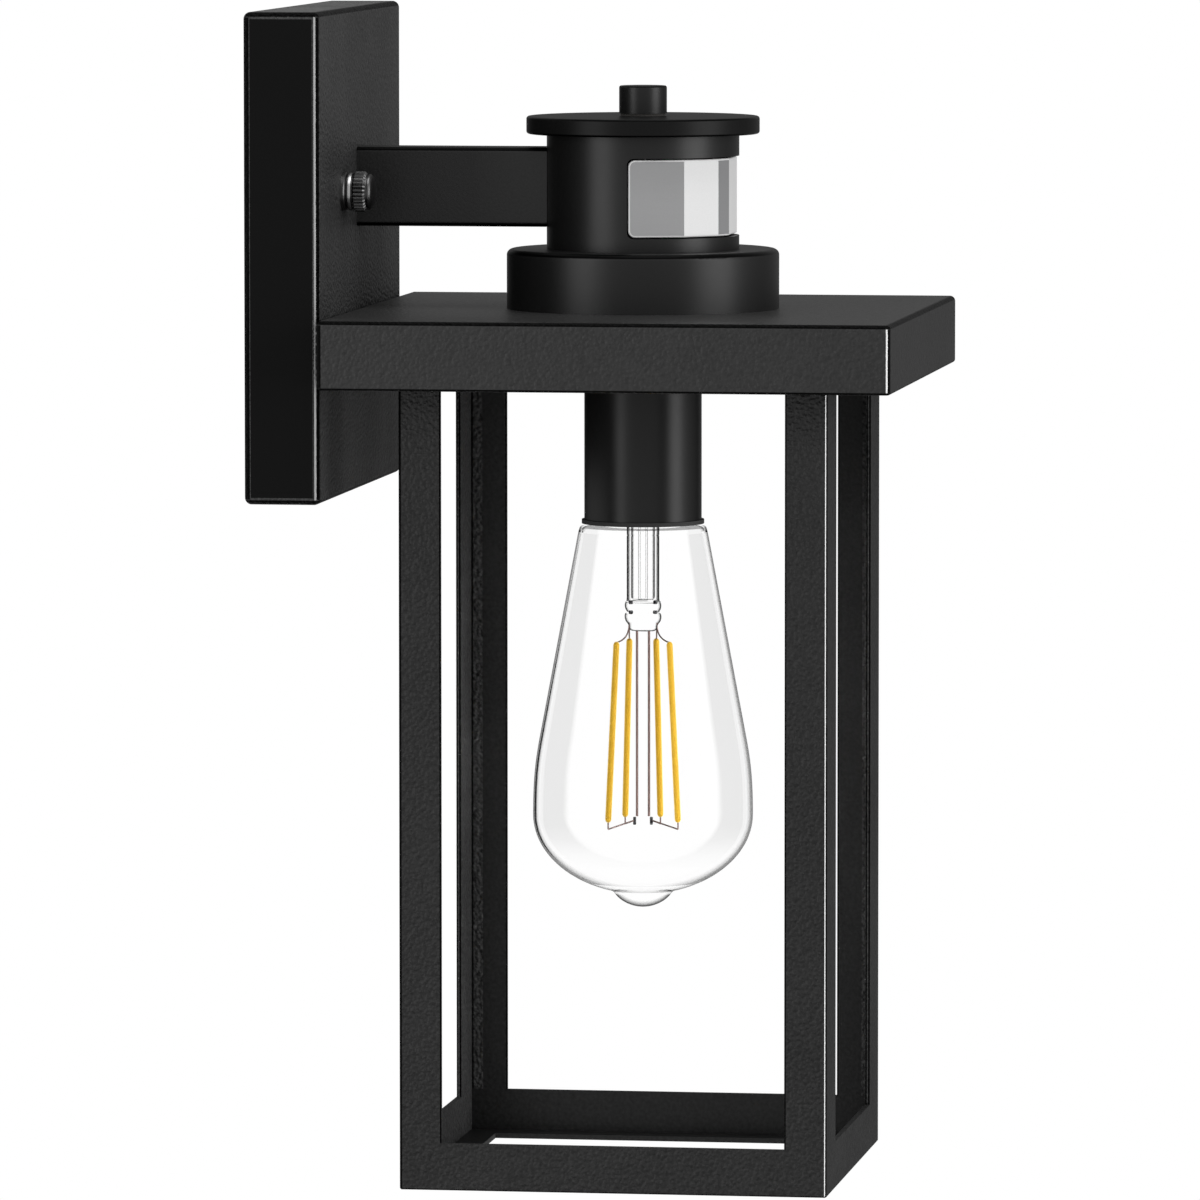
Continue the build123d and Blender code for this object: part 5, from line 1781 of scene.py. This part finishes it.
    def place_glass(self, piece: Object, node: str) -> None:
        """Sets a turned glass piece on the axis and hands it over.

        Args:
            piece: The piece, still upright at the origin.
            node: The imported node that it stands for.
        """
        settle(piece, tuple(self.axis))
        round_off(piece, degrees=60.0)
        piece.visible_shadow = False
        hand_over(piece, "bulb", "clear_glass", node)

    def stem_outline(self, pinch: float) -> Outline:
        """Half of the stem's section: foot, two bulges, tube, flare and exhaust tube.

        Args:
            pinch: The height at which the tube starts.

        Returns:
            The outline, from the foot to the bottom of the exhaust tube's bore.
        """
        top, foot, stem = self.neck_top, self.stem_end, self.stem
        flare = self.neck - self.glass_wall - self.stem_gap
        tube_top = top - self.flare_height
        inner, rim = stem - self.stem_wall, flare - self.stem_wall
        pull, push = tube_top + self.flare_ends[0], top - self.flare_ends[1]
        bore = 0.6 * self.exhaust
        toe, heel = (0.6 * stem, foot), (0.9 * stem, foot + 1.4 * MM)
        outline = [(0.0, foot), toe]
        outline += bend(toe, (0.85 * stem, foot), (heel[0], foot + 0.6 * MM), heel, count=6)
        for rises, bulge in ((self.lower_bulge, self.pinch), (self.upper_bulge, 0.98 * self.pinch)):
            start, stop = (foot + rise for rise in rises)
            outline += bend(
                (outline[-1][0], start), (1.02 * bulge, start + 0.5 * MM),
                (1.06 * bulge, stop - 0.5 * MM), (1.02 * stem, stop), count=9,
            )
        outline += [(stem, pinch), (stem, tube_top)]
        outline += bend((stem, tube_top), (stem, pull), (flare - self.flare_reach, push), (flare, top))
        outline += [(rim, top)]
        outline += bend((rim, top), (rim - self.flare_reach, push), (inner, pull), (inner, tube_top))
        well, floor = (inner, pinch + 1.0 * MM), pinch - 0.6 * MM
        outline += [well, *bend(well, (inner, pinch), (inner, floor), (self.exhaust, floor), count=6)]
        return outline + [(self.exhaust, top), (bore, top), (bore, pinch), (0.0, pinch - 0.4 * MM)]

    def stem_tube(self) -> None:
        """The flared stem with its flattened pinch, and the exhaust tube inside it."""
        pinch = self.stem_end + self.pinch_height
        tube = self.exhaust + 0.2 * MM
        stem = turned("flared_stem", self.stem_outline(pinch), flats=48)

        def glass_of(face: Face) -> Finish:
            """A face's glass: the exhaust tube's above the pinch, or the stem's."""
            in_tube = face.center.xy.length < tube and face.center.z > pinch
            return TUBE_GLASS if in_tube else STEM_GLASS

        dress_faces(stem, (STEM_GLASS, TUBE_GLASS), glass_of)
        with editing(stem):
            choose(Element.VERTEX, lambda vertex: vertex.co.z < pinch - MM)
            turn = {"orient_axis": "Z", "center_override": (0, 0, 0)}
            bpy.ops.transform.rotate(value=-self.support_turn, **turn)
            bpy.ops.transform.resize(value=(1.0, self.pinch_flat, 1.0), center_override=(0, 0, 0))
            bpy.ops.transform.rotate(value=self.support_turn, **turn)
        self.place_glass(stem, "bulb_stem")

    def strips(self) -> None:
        """One light-strip with rounded ends, copied round the axis."""
        first, *others = map(math.radians, self.strip_turns)
        bottom = self.ring_point(self.strip_bottom, first, self.strip_low)
        run = self.ring_point(self.strip_top, first, self.strip_high) - bottom
        length = run.length
        end = self.strip_end * self.strip
        cap = quarter(self.strip, 0.0, end, self.strip_tip * self.strip, count=6)
        outline = [(0.0, 0.0), *((radius, end - rise) for radius, rise in reversed(cap))]
        outline += [(self.strip, height) for height in steps(end, length - end, count=40)]
        outline += [*((radius, length - end + rise) for radius, rise in cap), (0.0, length)]
        strip = turned("light_strip_1", outline, flats=20)
        strip.rotation_mode = "QUATERNION"
        strip.rotation_quaternion = run.to_track_quat("Z", "Y")
        strip.location = bottom
        take(strip)
        strip = added("light_strip_1")
        strip.rotation_mode = "XYZ"
        strips = joined_round(strip, "light_strips", self.axis, [turn - first for turn in others])
        round_off(strips, degrees=50.0)
        hand_over(strips, "bulb", "filament_amber", "bulb_filaments")

    def bead(self, place: Vector, size: Spot) -> Object:
        """A dark bead on a wire.

        Args:
            place: Its lower end.
            size: Its radius and its height.

        Returns:
            The bead.
        """
        radius, height = size
        end = 0.3 * radius
        outline = [(0.0, 0.0), (radius - end, 0.0), (radius, end), (radius, height - end)]
        bead = turned("bead", [*outline, (radius - end, height), (0.0, height)], flats=16)
        bead.data.materials.append(material_of(FINISHES["insulator_black"]))
        return settle(bead, place)

    def strand(self, path: Sequence[Vector], radius: float) -> Object:
        """A length of wire in the wires' own finish.

        Args:
            path: Its start, the two handles of its bend and its end.
            radius: Half of its thickness.

        Returns:
            The wire.
        """
        wire = drawn_wire("strand", path, radius)
        wire.data.materials.append(material_of(FINISHES["lead_wire"]))
        return wire

    def straight(self, start: Vector, end: Vector, radius: float) -> Object:
        """A straight length of wire."""
        return self.strand((start, start.lerp(end, 1 / 3), start.lerp(end, 2 / 3), end), radius)

    def wires(self) -> None:
        """The support wires, the wires to the strips' ends, their beads and the knots in the pinch."""
        low, high, foot = self.strip_low, self.strip_high, self.stem_end
        up = Vector((0.0, 0.0, 1.0))
        bead_ring = self.support + self.bead_out
        holders = (self.support_turn, self.support_turn + math.pi)
        parts = []
        for holder in holders:
            start = self.ring_point(self.support, holder, foot)
            end = self.ring_point(self.support, holder, low + self.support_end)
            parts.append(self.straight(start, end, self.support_wire))
            parts.append(self.bead(self.ring_point(bead_ring, holder, low - self.bead_drop), self.bead_size))
            for rise in self.knots:
                parts.append(self.bead(self.ring_point(self.knot_ring, holder, foot + rise), self.knot_size))
        for turn in map(math.radians, self.strip_turns):
            holder = holders[0] if turn < 0.0 else holders[1]
            tail = self.ring_point(self.strip_bottom, turn, low) - up * self.tail
            bead = self.ring_point(bead_ring, holder, low + self.foot_rise)
            parts.append(self.straight(tail, tail + up * (self.tail + self.tail_grip), self.wire))
            parts.append(self.straight(tail, bead, self.wire))
            tip = self.ring_point(self.strip_top, turn, high - self.lead_grip)
            root = self.ring_point(self.lead_ring, holder, foot + self.lead_root)
            inwards = (root - tip) * Vector((self.lead_pull, self.lead_pull, 0.0))
            path = (root, root - up * self.lead_drop, tip + inwards + up * self.lead_bow, tip)
            parts.append(self.strand(path, self.wire))
        wires = joined(parts, "support_and_lead_wires")
        round_off(wires, degrees=40.0)
        hand_over(wires, "bulb", "lead_wire", "bulb_wires")

    def base(self) -> None:
        """The screw base: a thin shell with a rolled thread and a crimped top."""
        low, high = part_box("bulb_base")
        radius, bottom, top = (high.x - low.x) / 2, low.z, high.z
        crimp = top - self.base_crimp
        wall, pitch = self.base_wall, self.base_pitch
        mouth = radius - self.base_crimp_inset
        rise = steps(bottom, crimp, count=64)
        outline = [(radius, height) for height in rise]
        outline += [(mouth, top), (mouth - wall, top), (radius - wall, rise[-1] - wall)]
        outline += [(radius - wall, height) for height in reversed(rise[:-1])]
        base = turned("rolled_screw_base", [*outline, outline[0]], flats=72)
        thread_end = crimp + self.base_run_out * pitch
        roll_thread(base, pitch, self.base_groove, bottom + self.base_start, thread_end)
        settle(base, tuple(self.axis))
        round_off(base, degrees=40.0)
        hand_over(base, "bulb", "base_brass", "bulb_base")


@dataclass
class CentreRod:
    """The hollow threaded rod that ties the head, the cap and the lampholder together."""

    pitch: float = 1.0 * MM
    groove: float = 0.5 * MM
    rings: int = 4
    bore: float = 3.5 * MM

    def build(self) -> None:
        """Turns the rod with its bore and rolls its thread."""
        low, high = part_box("centre_rod")
        radius = (high.x - low.x) / 2
        rings = round((high.z - low.z) / self.pitch * self.rings)
        outline = [(radius, height) for height in steps(low.z, high.z, rings)]
        outline += [(self.bore, high.z), (self.bore, low.z), outline[0]]
        rod = turned("threaded_centre_rod", outline, flats=32)
        plain = [vertex.co.copy() for vertex in rod.data.vertices]
        roll_thread(rod, self.pitch, self.groove, low.z - self.pitch, high.z + self.pitch)
        for vertex, place in zip(rod.data.vertices, plain):
            if place.xy.length < radius - self.groove:
                vertex.co = place
        settle(rod, tuple(lantern_axis()))
        round_off(rod, degrees=50.0)
        hand_over(rod, "fixture", "zinc_steel", "centre_rod")


@dataclass(frozen=True)
class Softbox:
    """A square studio lamp."""

    name: str
    place: Point
    aim: Point
    width: float
    height: float
    power: float

    def build(self) -> None:
        """Puts the lamp in its place, aimed at the lantern."""
        look = Vector(self.aim) - Vector(self.place)
        turn = look.to_track_quat("-Z", "Y").to_euler()
        bpy.ops.object.light_add(type="AREA", location=self.place, rotation=turn)
        lamp = bpy.context.active_object
        lamp.name = self.name
        lamp.data.shape = "RECTANGLE"
        lamp.data.size = self.width
        lamp.data.size_y = self.height
        lamp.data.energy = self.power
        lamp.visible_camera = False


@dataclass
class Studio:
    """The floor, the pale surroundings, the lamps and the camera."""

    middle: Point = (0.0, -0.1, -0.12)
    floor_height: float = -0.62
    floor_size: float = 2.4
    floor_fade: Spot = (0.2, 0.48)
    ambient: float = 0.28
    dim: float = 0.20
    dim_from: float = -0.1
    dim_to: float = 0.7
    lens: float = 310.2
    sensor: float = 36.0
    clip: Spot = (0.05, 50.0)
    eye: Point = (-2.96566, -0.53052, 0.12617)
    aim: Point = (0.0, -0.09236, -0.11964)
    roll: float = math.radians(-0.017)

    def build(self) -> None:
        """Builds everything round the lantern."""
        self.floor()
        self.surroundings()
        for lamp in (
            Softbox("front_softbox", (-0.587, -1.907, 0.1), self.middle, width=1.1, height=1.6, power=26.0),
            Softbox("wall_softbox", (-1.36, 1.14, 0.1), self.middle, width=0.8, height=1.6, power=14.0),
            Softbox("top_softbox", (-0.3, -0.3, 1.9), self.middle, width=1.4, height=1.4, power=25.0),
        ):
            lamp.build()
        self.camera()
        bpy.context.scene.view_settings.view_transform = "Standard"

    def floor(self) -> None:
        """A pale floor under the lantern, see-through from below and fading out round it."""
        take()
        place = (self.middle[0], self.middle[1], self.floor_height)
        bpy.ops.mesh.primitive_plane_add(size=self.floor_size, location=place)
        floor = added("studio_floor")
        material, tree, shader = new_material("floor_paper")
        tone = tree.group(GRAIN, {"Grain": 600.0, "Mottle": 4.0})["Tone"]
        tree.fill(shader, {"Base Color": tree.between(tone, grey(0.84), grey(0.90)), "Roughness": 0.8})
        away = tree.vector("LENGTH", {0: tree.coordinates("Object")})
        fade = tree.ramp(away, *(share * self.floor_size for share in self.floor_fade))
        gone = tree.figure("MAXIMUM", tree.behind(), fade)
        clear = tree.add("ShaderNodeBsdfTransparent").outputs[0]
        mix = tree.add("ShaderNodeMixShader", {0: gone, 1: shader.outputs[0], 2: clear}).outputs[0]
        tree.fill(material.node_tree.nodes["Material Output"], {"Surface": mix})
        floor.data.materials.append(material)

    def surroundings(self) -> None:
        """White to the camera and through glass, dimmer in gloss on the right, softer as light."""
        world = bpy.data.worlds.new("pale_surroundings")
        world.use_nodes = True
        bpy.context.scene.world = world
        world.node_tree.nodes.clear()
        tree = Tree(world.node_tree)
        path = tree.add("ShaderNodeLightPath").outputs
        rightward = tree.parts(tree.coordinates("Generated"))["X"]
        spans = {"From Min": self.dim_from, "From Max": self.dim_to, "To Min": 1.0, "To Max": self.dim}
        gloss = tree.add(
            "ShaderNodeMapRange", {"Value": rightward, **spans}, interpolation_type="SMOOTHSTEP"
        ).outputs["Result"]
        extra = tree.figure("SUBTRACT", gloss, self.ambient)
        lit = tree.figure("MULTIPLY_ADD", path["Is Glossy Ray"], extra, self.ambient)
        clear = tree.figure("MAXIMUM", path["Is Camera Ray"], path["Is Transmission Ray"])
        strength = tree.figure("MAXIMUM", lit, clear)
        white = tree.add("ShaderNodeBackground", {"Color": WHITE, "Strength": strength}).outputs[0]
        tree.add("ShaderNodeOutputWorld", {"Surface": white})

    def camera(self) -> None:
        """A long lens at the photograph's height and angle."""
        look = Vector(self.aim) - Vector(self.eye)
        turn = look.to_track_quat("-Z", "Y") @ Quaternion((0.0, 0.0, 1.0), self.roll)
        bpy.ops.object.camera_add(location=self.eye, rotation=turn.to_euler())
        camera = bpy.context.active_object
        camera.data.lens = self.lens
        camera.data.sensor_width = self.sensor
        camera.data.clip_start, camera.data.clip_end = self.clip
        bpy.context.scene.camera = camera


def dress_packed_nodes() -> None:
    """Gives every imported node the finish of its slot, and the lid and the arm their own."""
    own = {"sensor_lid": LID_BLACK, "arm_tube": ARM_BLACK}
    for name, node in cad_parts.items():
        for place in node.material_slots:
            slot = place.material.name.split(".")[0]
            place.material = material_of(own.get(name, FINISHES[slot]))
        LOG.info("%s: finish on the packed solid", name)


def main() -> None:
    """Dresses the lantern, piece by piece, and sets up its studio."""
    logging.basicConfig(level=logging.INFO, format="%(message)s")
    dress_packed_nodes()
    for assembly in (
        WallMount(), CentreRod(), SensorLens(), RoofCap(), AngleFrame(), FilamentBulb(), Studio()
    ):
        assembly.build()
        LOG.info("%s done", type(assembly).__name__)


if __name__ == "__main__":
    main()
